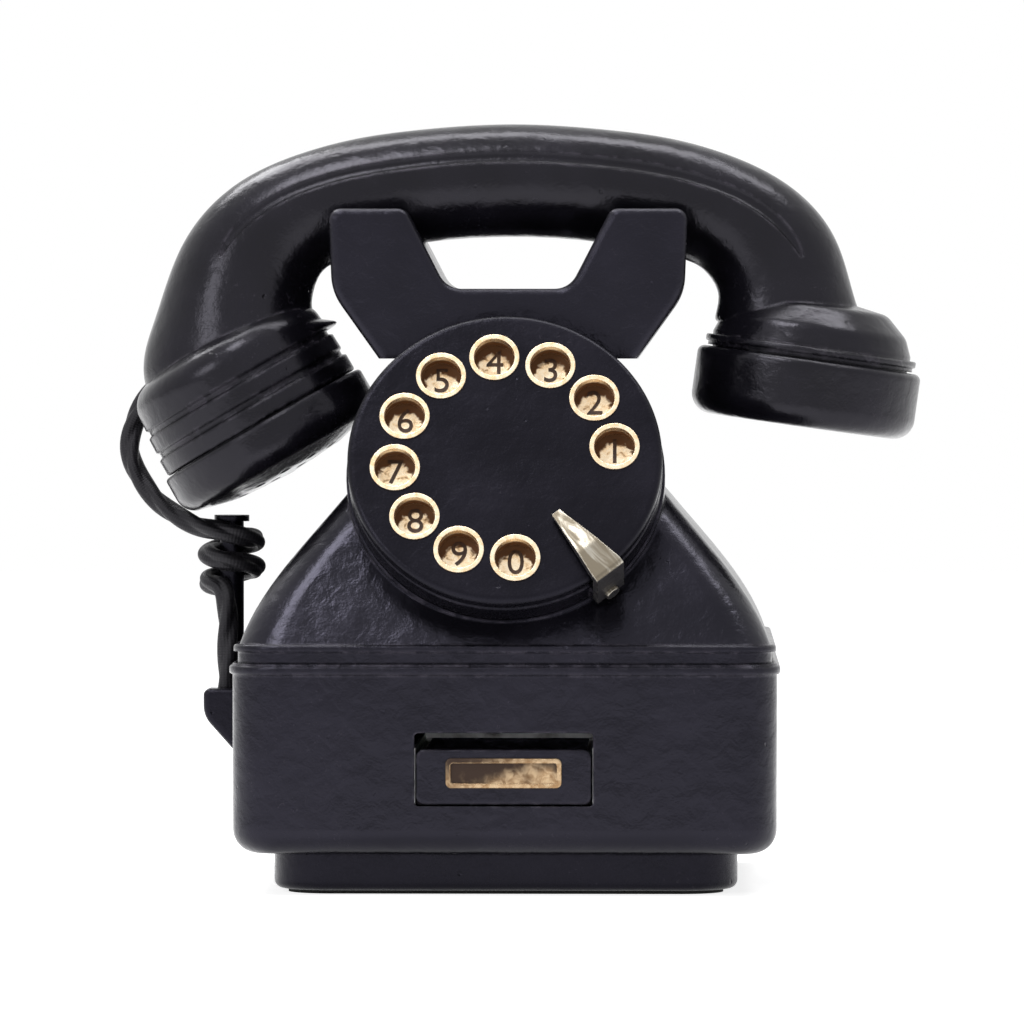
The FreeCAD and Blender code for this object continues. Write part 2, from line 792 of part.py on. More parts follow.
eyelets = dial_body("finger_hole_rims")
eyelet_out = size("hole_radius") - size("press_clearance")
eyelet_in = eyelet_out - size("eyelet_wall")
barrel = pad(Sketch(eyelets, "XY_Plane", (0, 0, wheel_low + 0.3)).circle(hole_x, hole_y, eyelet_out)
             .circle(hole_x, hole_y, eyelet_in), size("wheel_thick") - 0.3)
flange = pad(Sketch(eyelets, "XY_Plane", (0, 0, wheel_top))
             .circle(hole_x, hole_y, size("hole_radius") + size("eyelet_flange"))
             .circle(hole_x, hole_y, eyelet_in), size("eyelet_rise"))
polar(eyelets, [barrel, flange], 10, 270.0)

dial_shaft = dial_body("dial_shaft")
pad(Sketch(dial_shaft, "XY_Plane", (0, 0, -size("can_depth") + 0.3)).circle(0, 0, size("dial_shaft_radius")),
    size("can_depth") + shaft_top - 0.4)

rear_plate = dial_body("dial_rear_plate")
pad(Sketch(rear_plate, "XY_Plane", (0, 0, -size("can_depth"))).circle(0, 0, can_inner - 0.1)
    .circle(0, 0, shaft_hole).circle(arbor_x, arbor_y, arbor_hole), 1.5)

# Finger stop: a wedge over the wheel on a leg beside the drum
stop = new_body("finger_stop")
stop_low = wheel_top + size("eyelet_rise") + size("stop_clearance")
stop_out = stop_leg + size("stop_thick")
side = Sketch(stop, "XZ_Plane", (0, 0, -size("stop_width") / 2)).profile([
    (stop_leg, web_low + 1), (stop_out, web_low + 1),
    (stop_out, stop_low + size("stop_height"), 1.4),
    (stop_leg - 8, stop_low + size("stop_height"), 6),
    (stop_tip, stop_low + 1.2), (stop_tip, stop_low), (stop_leg, stop_low)])
pad(side, size("stop_width"))
for hand in (-1, 1):
    pocket(Sketch(stop, "XY_Plane", (0, 0, stop_low + size("stop_height") + 1)).profile([
        (stop_tip - 1, hand * size("stop_tip_width") / 2),
        (stop_leg, hand * (size("stop_width") / 2 + 0.01)),
        (stop_leg, hand * (size("stop_width") / 2 + 3)),
        (stop_tip - 1, hand * (size("stop_width") / 2 + 3))]), size("stop_height") + 2)
pocket(Sketch(stop, "YZ_Plane", (0, 0, stop_out + 1)).circle(0, web_low + 3.4, 1.3), size("stop_thick") + 2)
stop_screw = new_body("finger_stop_screw")
pad(Sketch(stop_screw, "YZ_Plane", (0, 0, stop_out)).circle(0, web_low + 3.4, 2.2), 1.2)
pad(Sketch(stop_screw, "YZ_Plane", (0, 0, stop_out)).circle(0, web_low + 3.4, 1.2),
    size("stop_thick") - 0.1, back=True)
dial_turn = FreeCAD.Placement(Vector(0, dial_y.value, dial_z.value),
                              FreeCAD.Rotation(Vector(1, 0, 0), 90 - tilt.value))
stop_turn = FreeCAD.Placement(Vector(0, 0, 0), FreeCAD.Rotation(Vector(0, 0, 1), size("stop_angle").value))
stop.Placement = dial_turn.multiply(stop_turn)
stop_screw.Placement = dial_turn.multiply(stop_turn)


# Gears of the dial: involute flanks worked out from the module and the tooth counts


def gear_outline(teeth, addendum, phase):
    """Return the closed outline of a spur gear as a wire."""
    module = size("gear_module").value
    pitch = module * teeth / 2.0
    base = pitch * math.cos(math.radians(20))
    tip = pitch + addendum * module
    root = pitch - 1.25 * module
    thick = math.pi * module / 2.0 - size("gear_backlash").value
    lean = math.tan(math.radians(20)) - math.radians(20)
    half = thick / (2.0 * pitch) + lean

    def half_angle(radius):
        """Return half the angle that a tooth takes up at a radius."""
        if radius <= base:
            return half
        press = math.acos(base / radius)
        return half - (math.tan(press) - press)

    radii = [root, max(base, root + 0.01), pitch, tip]
    spots = []
    for tooth in range(teeth):
        middle = phase + 2 * math.pi * tooth / teeth
        for radius in radii:
            spots.append((radius, middle - half_angle(radius)))
        for radius in reversed(radii):
            spots.append((radius, middle + half_angle(radius)))
    points = [Vector(radius * math.cos(angle), radius * math.sin(angle), 0) for radius, angle in spots]
    return Part.makePolygon(points + points[:1])


def prism(wire, holes, low, high):
    """Return the solid between two heights that a wire bounds, less round holes."""
    face = Part.makeFace([wire] + holes, "Part::FaceMakerBullseye")
    face.translate(Vector(0, 0, low))
    return face.extrude(Vector(0, 0, high - low))


def loose(name, shape, placement):
    """Keep a shape that has no simpler feature."""
    item = doc.addObject("Part::Feature", name)
    item.Label = name
    item.Shape = shape
    item.Placement = placement
    nodes[name] = item
    return item


def round_hole(radius):
    """Return a circular wire about the origin."""
    return Part.Wire(Part.makeCircle(radius))


gear_low = size("gear_depth").value
gear_high = gear_low + size("gear_thick").value
arbor_phase = math.radians(size("arbor_angle").value)
gear_count = int(size("gear_teeth").value)
pinion_count = int(size("pinion_teeth").value)
gear_disc = prism(gear_outline(gear_count, 0.75, arbor_phase), [round_hole(shaft_bore.value)],
                  gear_low, gear_high)
gear_hub = Part.makeCylinder(5.5, 2.5, Vector(0, 0, gear_low - 2.5)).cut(
    Part.makeCylinder(shaft_bore.value, 4, Vector(0, 0, gear_low - 3)))
loose("dial_main_gear", gear_disc.fuse(gear_hub).removeSplitter(), dial_turn)

pinion_phase = arbor_phase + math.pi + math.pi / pinion_count
arbor = size("arbor_radius").value
can_depth = size("can_depth").value
pinion_disc = prism(gear_outline(pinion_count, 0.9, pinion_phase), [round_hole(arbor - 0.3)],
                    gear_low - 1.5, gear_high + 1.5)
arbor_rod = Part.makeCylinder(arbor, can_depth + 3.0, Vector(0, 0, -can_depth + 0.4))
arbor_shift = FreeCAD.Placement(Vector(arbor_x.value, arbor_y.value, 0), FreeCAD.Rotation())
arbor_turn = dial_turn.multiply(arbor_shift)
loose("governor_pinion", pinion_disc.fuse(arbor_rod).removeSplitter(), arbor_turn)
weight_ring = Part.makeCylinder(6.2, 4.5, Vector(0, 0, -19.5)).cut(
    Part.makeCylinder(arbor + size("press_clearance").value, 6, Vector(0, 0, -20)))
weight_slot = Part.makeBox(3.0, 14.0, 3.0, Vector(2.4, -7.0, -18.0))
weight_slot_far = Part.makeBox(3.0, 14.0, 3.0, Vector(-5.4, -7.0, -18.0))
loose("governor_weights", weight_ring.cut(weight_slot).cut(weight_slot_far), arbor_turn)


def spiral_strip(inner, pitch, turns, thick, low, high):
    """Return a flat spiral spring made of half circles."""
    near, far = [], []
    for index in range(int(turns * 2)):
        radius = inner + index * pitch / 2.0
        centre = 0.0 if index % 2 == 0 else pitch / 2.0
        upward = 1 if index % 2 == 0 else -1
        for rail, shift in ((near, -thick / 2.0), (far, thick / 2.0)):
            reach = radius + shift
            rail.append(Part.Arc(Vector(centre + upward * reach, 0, 0), Vector(centre, upward * reach, 0),
                                 Vector(centre - upward * reach, 0, 0)).toShape())
    first = Part.LineSegment(near[0].firstVertex(True).Point, far[0].firstVertex(True).Point).toShape()
    last = Part.LineSegment(near[-1].lastVertex(True).Point, far[-1].lastVertex(True).Point).toShape()
    outline = Part.Wire(Part.__sortEdges__(near + [last] + far + [first]))
    return prism(outline, [], low, high)


loose("dial_return_spring", spiral_strip(4.2, 1.5, 4, 0.5, -18.0, -13.0), dial_turn)

# Pulse contacts: two blades clamped between insulating blocks
contacts = dial_body("pulse_contacts")
for index, (low, high, reach) in enumerate(((-22.5, -16.0, 4), (-16.0, -15.6, 9), (-15.6, -12.6, 4),
                                            (-12.6, -12.2, 9), (-12.2, -9.4, 4))):
    pad(Sketch(contacts, "XY_Plane", (0, 0, low)).rectangle(-4, 17.5, reach, 22), high - low)

# Handset: an arched grip that swells into a cup at each end


def station(name, x, z, angle, thick, deep):
    """Add one cross-section of the grip; the angle points from its inside to its outside."""
    item = doc.addObject("Part::Ellipse", name)
    bind(item, "MajorRadius", thick)
    bind(item, "MinorRadius", deep)
    put(item, x, cradle_y, z)
    turn(item, "y", -Size.of(angle))
    return item


def grip_rows():
    """Return the place, angle and half sizes of the grip's cross-sections, from cup to cup."""
    mouth_tilt = size("mouth_tilt")
    ear_tilt = size("ear_tilt")
    limbs = {-1: (size("limb_left_thick"), size("limb_left_depth")),
             1: (size("limb_right_thick"), size("limb_right_depth"))}
    rows = [(size("mouth_x") - mouth_tilt.sin() * 26, mouth_z + mouth_tilt.cos() * 26,
             180 + mouth_tilt, Size.of(24.2), Size.of(24.0))]
    first = size("crown_bend")
    arch = (size("bend_half_span") + size("bend_radius") * first.sin()) / first.sin()
    for side, turns in ((-1, (3, 2, 1, 0)), (1, (0, 1, 2, 3))):
        thick, deep = limbs[side]
        quarter = first / 2
        middle_row = (size("handset_x") + side * arch * quarter.sin(),
                      crown_z - arch * (1 - quarter.cos()), 90 - side * quarter,
                      size("crown_half_thick"), size("crown_half_depth"))
        if side > 0:
            rows.append(middle_row)
        for step in turns:
            bend = first + (90 - first) * step / 3
            swell = (bend.value / 90.0) ** 2
            x = size("handset_x") + side * (size("bend_half_span") + size("bend_radius") * bend.sin())
            z = bend_z + size("bend_radius") * bend.cos()
            rows.append((x, z, 90 - side * bend,
                         size("crown_half_thick") + (thick - size("crown_half_thick")) * swell,
                         size("crown_half_depth") + (deep - size("crown_half_depth")) * swell))
        if side < 0:
            rows.append(middle_row)
            rows.append((size("handset_x"), crown_z, 90, size("crown_half_thick"),
                         size("crown_half_depth")))
    rows.append((size("ear_x") + ear_tilt.sin() * 27, ear_z + ear_tilt.cos() * 27,
                 ear_tilt * -1, Size.of(23.2), Size.of(23.0)))
    return rows


def blended(name, sections):
    """Blend closed outlines into one smooth solid."""
    form = doc.addObject("Part::Loft", name)
    form.Sections = sections
    form.Solid = True
    form.Ruled = False
    return form


def grip_form(name, extra):
    """Return the grip, each cross-section larger by a little."""
    sections = []
    for index, (x, z, angle, thick, deep) in enumerate(grip_rows()):
        sections.append(station("%s_section_%d" % (name, index), x, z, angle, thick + extra, deep + extra))
    return blended(name, sections)


def crease_form(name):
    """Return the rod that cuts the crease along the upper front of the grip, between its two bends."""
    lean = size("crease_angle")
    rod = size("crease_radius")
    rows = grip_rows()[2:-2]
    sections = []
    for index, (x, z, angle, thick, deep) in enumerate(rows):
        angle = Size.of(angle)
        inner = 0 < index < len(rows) - 1
        proud = rod - size("crease_depth") if inner else Size.of(0)
        out = (thick + proud) * lean.sin()
        item = doc.addObject("Part::Circle", "%s_section_%d" % (name, index))
        bind(item, "Radius", rod if inner else size("crease_depth") / 2)
        put(item, x + out * angle.cos(), cradle_y - (deep + proud) * lean.cos(), z + out * angle.sin())
        turn(item, "y", -angle)
        sections.append(item)
    return blended(name, sections)


def at_mouth(name, keep_it=True):
    """Add a turned piece whose upright axis runs back from the mouthpiece rim."""
    body = new_body(name, keep_it)
    put(body, size("mouth_x"), cradle_y, mouth_z)
    turn(body, "y", -size("mouth_tilt"))
    return body


def at_ear(name, keep_it=True):
    """Add a turned piece whose upright axis runs back from the earpiece rim."""
    body = new_body(name, keep_it)
    put(body, size("ear_x"), cradle_y, ear_z)
    turn(body, "y", size("ear_tilt"))
    return body


seat = size("cap_seat")
cup = size("cup_radius")
capsule_hole = size("capsule_radius") + size("capsule_gap")
mouth_joint = size("mouth_cap_length") + 0.4
ear_joint = size("ear_cap_length") + 0.4
mouth_cup = at_mouth("mouth_cup", False)
ring(mouth_cup, [
    (0, 5), (seat, 5), (seat, mouth_joint), (cup, mouth_joint, 0.8), (cup, mouth_joint + 5, 0.6),
    (cup - 1.1, mouth_joint + 5.6), (cup - 1.1, mouth_joint + 6.8), (cup - 0.3, mouth_joint + 7.4, 0.6),
    (cup - 0.5, mouth_joint + 12, 0.6), (cup - 1.6, mouth_joint + 12.6), (cup - 1.6, mouth_joint + 13.8),
    (cup - 0.9, mouth_joint + 14.4, 0.6), (cup - 1.6, 36, 8), (0, 49)])
ear_bell = at_ear("ear_bell", False)
ring(ear_bell, [
    (0, 6), (seat, 6), (seat, ear_joint), (cup - 1.4, ear_joint), (cup - 1.4, ear_joint + 1.1),
    (cup - 0.6, ear_joint + 1.1, 0.6), (cup - 0.6, ear_joint + 3.1, 0.6), (cup - 2.4, ear_joint + 3.1),
    (cup - 2.4, ear_joint + 4.2, 0.6), (cup - 4.4, ear_joint + 9.2, 5), (20.5, 35.0, 5), (0, 38.5)])
mouth_hollow = at_mouth("mouth_hollow", False)
pad(Sketch(mouth_hollow, "XY_Plane", (0, 0, 4)).circle(0, 0, capsule_hole), size("capsule_seat") - 4)
ear_hollow = at_ear("ear_hollow", False)
pad(Sketch(ear_hollow, "XY_Plane", (0, 0, 5)).circle(0, 0, capsule_hole), size("capsule_seat") - 5)

# Gland where the cord leaves the mouthpiece end
gland_place = Vector(size("mouth_x").value - 32.0, cradle_y.value + 14.0, mouth_z.value + 28.5)
gland_way = Vector(-0.62, 0.2, -0.76).normalize()
gland_turn = FreeCAD.Placement(gland_place, FreeCAD.Rotation(Vector(0, 0, 1), gland_way))
gland_radius = cord_radius + 2.2
gland = new_body("handset_cord_gland")
GLAND_LENGTH = 10.0
ring(gland, [
    (0, -8), (gland_radius, -8), (gland_radius, 4, 1.0), (cord_radius + 0.9, GLAND_LENGTH, 0.6),
    (0, GLAND_LENGTH)])
gland.Placement = gland_turn
gland_hole = new_body("gland_hole", False)
pad(Sketch(gland_hole, "XY_Plane", (0, 0, -8)).circle(0, 0, gland_radius + size("thread_clearance")), 24)
gland_hole.Placement = gland_turn

handset_form = fuse("handset_form", [grip_form("grip_form", 0), mouth_cup, ear_bell])
handset_hollows = fuse("handset_hollows", [mouth_hollow, ear_hollow, gland_hole, crease_form("crease_form")])
keep("handset_grip", cut("handset_grip", handset_form, handset_hollows))

cap = size("cap_radius")
thread = seat + size("cap_thread_gap")
mouth_cap = at_mouth("mouthpiece_cap")
ring(mouth_cap, [
    (0, -4.5), (17, -3.4, 30), (cap, 0.6, size("cap_round")), (cap, size("mouth_cap_length"), 1.2),
    (thread, size("mouth_cap_length")), (thread, 4.6), (0, -0.6)])
ear_cap = at_ear("earpiece_cap")
ring(ear_cap, [
    (0, 1.6), (23, 0), (cap, 0, size("cap_round")), (cap, size("ear_cap_length"), 2.0),
    (thread, size("ear_cap_length")), (thread, 5.4), (0, 5.0)])


def sound_holes(body, rings):
    """Cut a middle hole and rings of holes through the front of a cap."""
    pocket(Sketch(body, "XY_Plane", (0, 0, -8)).circle(0, 0, size("sound_hole")), 14, ahead=True)
    for radius, count in rings:
        one = pocket(Sketch(body, "XY_Plane", (0, 0, -8)).circle(radius, 0, size("sound_hole")),
                     14, ahead=True)
        polar(body, [one], count, 360.0 - 360.0 / count)


sound_holes(mouth_cap, ((8.5, 6), (17.0, 12)))
sound_holes(ear_cap, ((7.0, 6),))

transmitter = at_mouth("transmitter")
pad(Sketch(transmitter, "XY_Plane", (0, 0, 9)).circle(0, 0, size("capsule_radius")),
    size("capsule_seat") - 9)
pad(Sketch(transmitter, "XY_Plane", (0, 0, 9)).circle(0, 0, 19), 2.5, back=True)
receiver = at_ear("receiver")
pad(Sketch(receiver, "XY_Plane", (0, 0, 9)).circle(0, 0, size("capsule_radius")),
    size("capsule_seat") - 9)
pad(Sketch(receiver, "XY_Plane", (0, 0, 9)).circle(0, 0, 21), 1.5, back=True)

# Cradle: one forked casting that the handset lies in, hollow below for the spigot
fork = new_body("cradle_casting", False)
cradle_top = cradle_bottom + size("cradle_height")
window = cradle_bottom + size("window_floor")
waist = cradle_bottom + size("cradle_waist_rise")
right_side = [
    (size("cradle_root"), cradle_bottom), (size("cradle_waist"), waist, 16),
    (size("prong_outer"), cradle_top, 3.5), (size("prong_inner"), cradle_top, 3.5),
    (size("window_half_width"), window, 7)]
left_side = [(-corner[0],) + corner[1:] for corner in reversed(right_side)]
pad(Sketch(fork, "XZ_Plane", (0, 0, size("cradle_half_depth") - cradle_y)).profile(right_side + left_side),
    size("cradle_half_depth") * 2, back=True)
fork_front = (cradle_y - size("cradle_half_depth")).value
fork_rear = (cradle_y + size("cradle_half_depth")).value


def on_fork_face(edge):
    """Tell whether an edge is on the outline of the front or rear face, above the root."""
    if not (level(edge, "Y", fork_front) or level(edge, "Y", fork_rear)):
        return False
    return not level(edge, "Z", cradle_bottom.value)


round_edges(fork, 2.2, on_fork_face)
slide = size("slide_clearance")
pocket(Sketch(fork, "XY_Plane", (0, 0, cradle_bottom)).rectangle(
    -size("spigot_half_width") - slide, cradle_y - size("spigot_half_depth") - slide,
    size("spigot_half_width") + slide, cradle_y + size("spigot_half_depth") + slide, 6.0),
    size("window_floor") - size("cradle_web"), ahead=True)
web_under = window - size("cradle_web")
pocket(Sketch(fork, "XY_Plane", (0, 0, web_under)).circle(
    0, cradle_y, size("stem_radius") + size("press_clearance")), 3, ahead=True)


def end_hollow(name, hand):
    """Return the upright post that hollows one end of the cradle, where a cap passes on its way up."""
    lift = size("lift_clearance")
    lean = size("mouth_tilt")
    outline = doc.addObject("Part::Ellipse", name + "_outline")
    bind(outline, "MajorRadius", cap + lift)
    bind(outline, "MinorRadius", cap * lean.cos() + lift + 0.5)
    put(outline, hand * (size("mouth_x") - size("cap_round") * lean.sin()), cradle_y, cradle_bottom - 1)
    turn(outline, "z", 90)
    post = doc.addObject("Part::Extrusion", name)
    post.Base = outline
    post.DirMode = "Custom"
    post.Dir = Vector(0, 0, 1)
    post.Solid = True
    bind(post, "LengthFwd", size("cradle_height") + 2)
    return post


saddled = cut("saddled_casting", fork, grip_form("saddle_form", size("saddle_clearance")))
left_cut = cut("left_cut_casting", saddled, end_hollow("left_hollow", 1))
keep("cradle", cut("cradle", left_cut, end_hollow("right_hollow", -1)))

stem_top = web_under + 2.9
stem_bottom = stem_top - size("stem_length")
stem = cylinder("cradle_stem", size("stem_radius"), (0, cradle_y, stem_bottom), size("stem_length"))
keep("cradle_stem", stem)
bush = new_body("stem_bush")
spigot_top = neck_z + size("spigot_height")
pad(Sketch(bush, "XY_Plane", (0, 0, spigot_top)).circle(0, cradle_y, size("bush_radius"))
    .circle(0, cradle_y, size("stem_radius") + size("bearing_clearance")), size("bush_length"), back=True)


# Cords and coils: straight runs and tangent arcs swept by a round section


def arc_from(start, way, stop):
    """Return the arc that leaves a point in a direction and ends at another point."""
    chord = stop - start
    along = Vector(chord).normalize()
    lean = way - along * way.dot(along)
    half = math.acos(max(-1.0, min(1.0, way.dot(along))))
    if lean.Length < 1e-6:
        return Part.LineSegment(start, stop)
    top = start + chord * 0.5 + lean.normalize() * (chord.Length / 2.0 * math.tan(half / 2.0))
    return Part.Arc(start, top, stop)


def biarc(start, way_in, stop, way_out):
    """Return two arcs that join two points with given directions at both."""
    span = stop - start
    both = way_in + way_out
    spread = 2.0 * (1.0 - way_in.dot(way_out))
    reach = span.dot(both)
    root = math.sqrt(reach * reach + spread * span.dot(span))
    arm = (root - reach) / spread if spread > 1e-9 else span.dot(span) / (4.0 * span.dot(way_out))
    middle = (start + stop + (way_in - way_out) * arm) * 0.5
    back = arc_from(stop, way_out * -1.0, middle)
    tail = Part.LineSegment(middle, stop)
    if isinstance(back, Part.Arc):
        far = back.value((back.FirstParameter + back.LastParameter) / 2.0)
        tail = Part.Arc(middle, far, stop)
    return [arc_from(start, way_in, middle), tail]


def helix_spot(centre, radius, pitch, top, start_angle, angle):
    """Return the place and the direction on a coil that winds downward."""
    turned = math.radians(angle)
    drop = pitch * (angle - start_angle) / 360.0
    place = Vector(centre.x + radius * math.cos(turned), centre.y + radius * math.sin(turned), top - drop)
    way = Vector(-radius * math.sin(turned), radius * math.cos(turned), -pitch / (2.0 * math.pi))
    return place, way.normalize()


def helix_path(centre, radius, pitch, top, start_angle, end_angle):
    """Return the pieces of a coil, two arcs to each quarter turn."""
    count = max(1, round((end_angle - start_angle) / 90.0))
    pieces = []
    for index in range(count):
        low = start_angle + (end_angle - start_angle) * index / count
        high = start_angle + (end_angle - start_angle) * (index + 1) / count
        first = helix_spot(centre, radius, pitch, top, start_angle, low)
        last = helix_spot(centre, radius, pitch, top, start_angle, high)
        pieces += biarc(first[0], first[1], last[0], last[1])
    return pieces


def rounded_path(points):
    """Return straight runs through points with a tangent arc at each turn, and the arc radii."""
    pieces, radii = [], []
    here = points[0]
    for before, corner, after in zip(points, points[1:], points[2:]):
        back = (before - corner)
        ahead = (after - corner)
        turned = math.pi - back.getAngle(ahead)
        cut_back = 0.45 * min(back.Length, ahead.Length)
        radii.append(cut_back / math.tan(turned / 2.0))
        entry = corner + back.normalize() * cut_back
        leave = corner + ahead.normalize() * cut_back
        pieces.append(Part.LineSegment(here, entry))
        pieces.append(arc_from(entry, (corner - before).normalize(), leave))
        here = leave
    pieces.append(Part.LineSegment(here, points[-1]))
    return pieces, radii


def tube(name, pieces, radius):
    """Sweep a round section along joined pieces, and compare the volume with length times section."""
    path = Part.Wire([piece.toShape() for piece in pieces])
    start = pieces[0].value(pieces[0].FirstParameter)
    way = pieces[0].tangent(pieces[0].FirstParameter)[0]
    section = Part.Wire(Part.makeCircle(radius, start, way))
    shape = path.makePipeShell([section], True, False)
    share = shape.Volume / (math.pi * radius * radius * path.Length)
    print("tube %s length %.1f volume share %.4f" % (name, path.Length, share))
    return loose(name, shape, FreeCAD.Placement())


def least_gap(spot_at, start_angle, end_angle, radius):
    """Return the least gap between neighbouring turns of a coil, measured on points."""
    spots = []
    for step in range(int((end_angle - start_angle) / 6.0) + 1):
        spots.append(spot_at(start_angle + step * 6.0)[0])
    gaps = [spots[low].distanceToPoint(spots[high]) - 2.0 * radius
            for low in range(len(spots)) for high in range(low + 40, len(spots))]
    return min(gaps)


thick = cord_radius.value
peg_spot = Vector(peg_x.value, size("peg_y").value, 0)
turn_args = (peg_spot, turn_radius.value, turn_pitch.value, turn_top.value, size("turn_start_angle").value)
turn_start, turn_way = helix_spot(*turn_args, size("turn_start_angle").value)
turn_end, turn_leave = helix_spot(*turn_args, size("turn_end_angle").value)
gland_tip = gland_place + gland_way * GLAND_LENGTH
upper_points = [
    gland_tip, gland_tip + gland_way * 8.0, Vector(-112.0, 21.4, 127.0), Vector(-110.5, 19.8, 118.0),
    Vector(-104.4, 17.0, 109.9), Vector(-98.2, 13.6, 104.9), turn_start - turn_way * 7.6, turn_start]
upper_pieces, upper_radii = rounded_path(upper_points)
print("upper cord radii", ["%.1f" % radius for radius in upper_radii])
tube("handset_cord_upper", upper_pieces, thick)
turn_pieces = helix_path(*turn_args, size("turn_end_angle").value)
tube("handset_cord_turns", turn_pieces, thick)
print("least gap in the turns %.2f" % least_gap(
    lambda angle: helix_spot(*turn_args, angle), size("turn_start_angle").value,
    size("turn_end_angle").value, thick))
bend = size("drop_bend").value
drop_way = Vector(turn_leave.x, turn_leave.y, 0).normalize()
drop_start = turn_end + drop_way * bend + Vector(0, 0, -bend * 1.15)
scoop_top = size("scoop_top").value
drop_end = Vector(drop_start.x, drop_start.y, scoop_top)
drop_pieces = biarc(turn_end, turn_leave, drop_start, Vector(0, 0, -1))
for piece in drop_pieces:
    if hasattr(piece, "Radius"):
        print("drop bend radius %.1f" % piece.Radius)
tube("handset_cord_lower", drop_pieces + [Part.LineSegment(drop_start, drop_end)], thick)
print("drop at", drop_start)

# Return spring of the cradle, round the stem between the spigot and the casting
SPRING_WIRE = 0.6
SPRING_SEAT = 0.1
SPRING_TURNS = 3
spring_radius = size("stem_radius").value + 2.0
spring_low = spigot_top.value + SPRING_SEAT + SPRING_WIRE
spring_high = web_under.value - SPRING_SEAT - SPRING_WIRE
spring_pitch = (spring_high - spring_low) / SPRING_TURNS
spring_args = (Vector(0, cradle_y.value, 0), spring_radius, spring_pitch, spring_high, 0.0)
spring_sweep = 360.0 * SPRING_TURNS
tube("cradle_spring", helix_path(*spring_args, spring_sweep), SPRING_WIRE)
print("least gap in the spring %.2f" % least_gap(
    lambda angle: helix_spot(*spring_args, angle), 0.0, spring_sweep, SPRING_WIRE))

# Peg that the cord is wound on, and the scoop that takes the cord into the case
peg = new_body("cord_peg")
pad(Sketch(peg, "YZ_Plane", (0, 0, -half_width)).rectangle(
    size("peg_y") - size("peg_radius"), 41, size("peg_y") + 13, 56, 3.0), 3.0, back=True)
pad(Sketch(peg, "XY_Plane", (0, 0, 43)).circle(peg_x, size("peg_y"), size("peg_radius")),
    size("peg_top") - 44)
pad(Sketch(peg, "XY_Plane", (0, 0, size("peg_top") - 1.8)).circle(
    peg_x, size("peg_y"), size("peg_radius") + 1.6), 1.8)
foot_ways = Sketch(peg, "YZ_Plane", (0, 0, -half_width - 4))
for z in (45, 53):
    foot_ways.circle(size("peg_y") + 9, z, 1.4)
pocket(foot_ways, 6, ahead=True)
peg_screws = new_body("peg_screws")
peg_heads = Sketch(peg_screws, "YZ_Plane", (0, 0, -half_width - 3))
peg_shanks = Sketch(peg_screws, "YZ_Plane", (0, 0, -half_width - 3))
for z in (45, 53):
    peg_heads.circle(size("peg_y") + 9, z, 2.6)
    peg_shanks.circle(size("peg_y") + 9, z, 1.2)
pad(peg_heads, 1.4, back=True)
pad(peg_shanks, 3 + wall - 0.3)

scoop = new_body("case_cord_scoop")
SCOOP_HALF = 5.0
pad(Sketch(scoop, "XZ_Plane", (0, 0, SCOOP_HALF - drop_y)).profile([
    (-half_width, 36.0), (-half_width, scoop_top), (-half_width - 12.2, scoop_top, 2.0),
    (-half_width - 12.2, 47.0, 8.0), (-half_width - 2.4, 36.0, 2.0)]), SCOOP_HALF * 2, back=True)


def on_scoop_side(edge):
    """Tell whether an edge is on the outline of a side of the scoop, off the case wall."""
    low = (drop_y - SCOOP_HALF).value
    high = (drop_y + SCOOP_HALF).value
    return (level(edge, "Y", low) or level(edge, "Y", high)) and not level(edge, "X", -half_width.value)


round_edges(scoop, 1.6, on_scoop_side)
pad(Sketch(scoop, "YZ_Plane", (0, 0, -half_width)).circle(drop_y, 46, 4.0), wall + 1.5)

# Drawer, its pull plate and the channel it slides in
drawer = new_body("drawer")
front = -half_depth
tray_half = size("drawer_half_width") - 0.2
panel_back = front + wall
tray_end = panel_back + size("drawer_length")
tray_top = size("drawer_bottom") + size("drawer_height") - 1.4
pad(Sketch(drawer, "XY_Plane", (0, 0, size("drawer_bottom"))).rectangle(
    -tray_half, panel_back - 0.5, tray_half, tray_end), tray_top - size("drawer_bottom"))
pad(Sketch(drawer, "XZ_Plane", (0, 0, -front)).rectangle(
    -size("drawer_half_width"), size("drawer_bottom"), size("drawer_half_width"),
    size("drawer_bottom") + size("drawer_height"), 2.4), wall, back=True)
round_edges(drawer, 0.8, lambda edge: level(edge, "Y", front.value))
pocket(Sketch(drawer, "XY_Plane", (0, 0, tray_top)).rectangle(
    -tray_half + size("drawer_wall"), panel_back, tray_half - size("drawer_wall"),
    tray_end - size("drawer_wall")), tray_top - size("drawer_bottom") - size("drawer_wall"))

pull = new_body("drawer_pull")
pull_top = size("pull_bottom") + size("pull_height")
pad(Sketch(pull, "XZ_Plane", (0, 0, -front)).rectangle(
    -size("pull_half_width"), size("pull_bottom"), size("pull_half_width"), pull_top, 1.6),
    size("pull_thick"))
round_edges(pull, 0.5, lambda edge: level(edge, "Y", (front - size("pull_thick")).value))
pocket(Sketch(pull, "XZ_Plane", (0, 0, -front + size("pull_thick"))).rectangle(
    -size("pull_half_width") + size("pull_rim"), size("pull_bottom") + size("pull_rim"),
    size("pull_half_width") - size("pull_rim"), pull_top - size("pull_rim"), 0.8), 0.7)

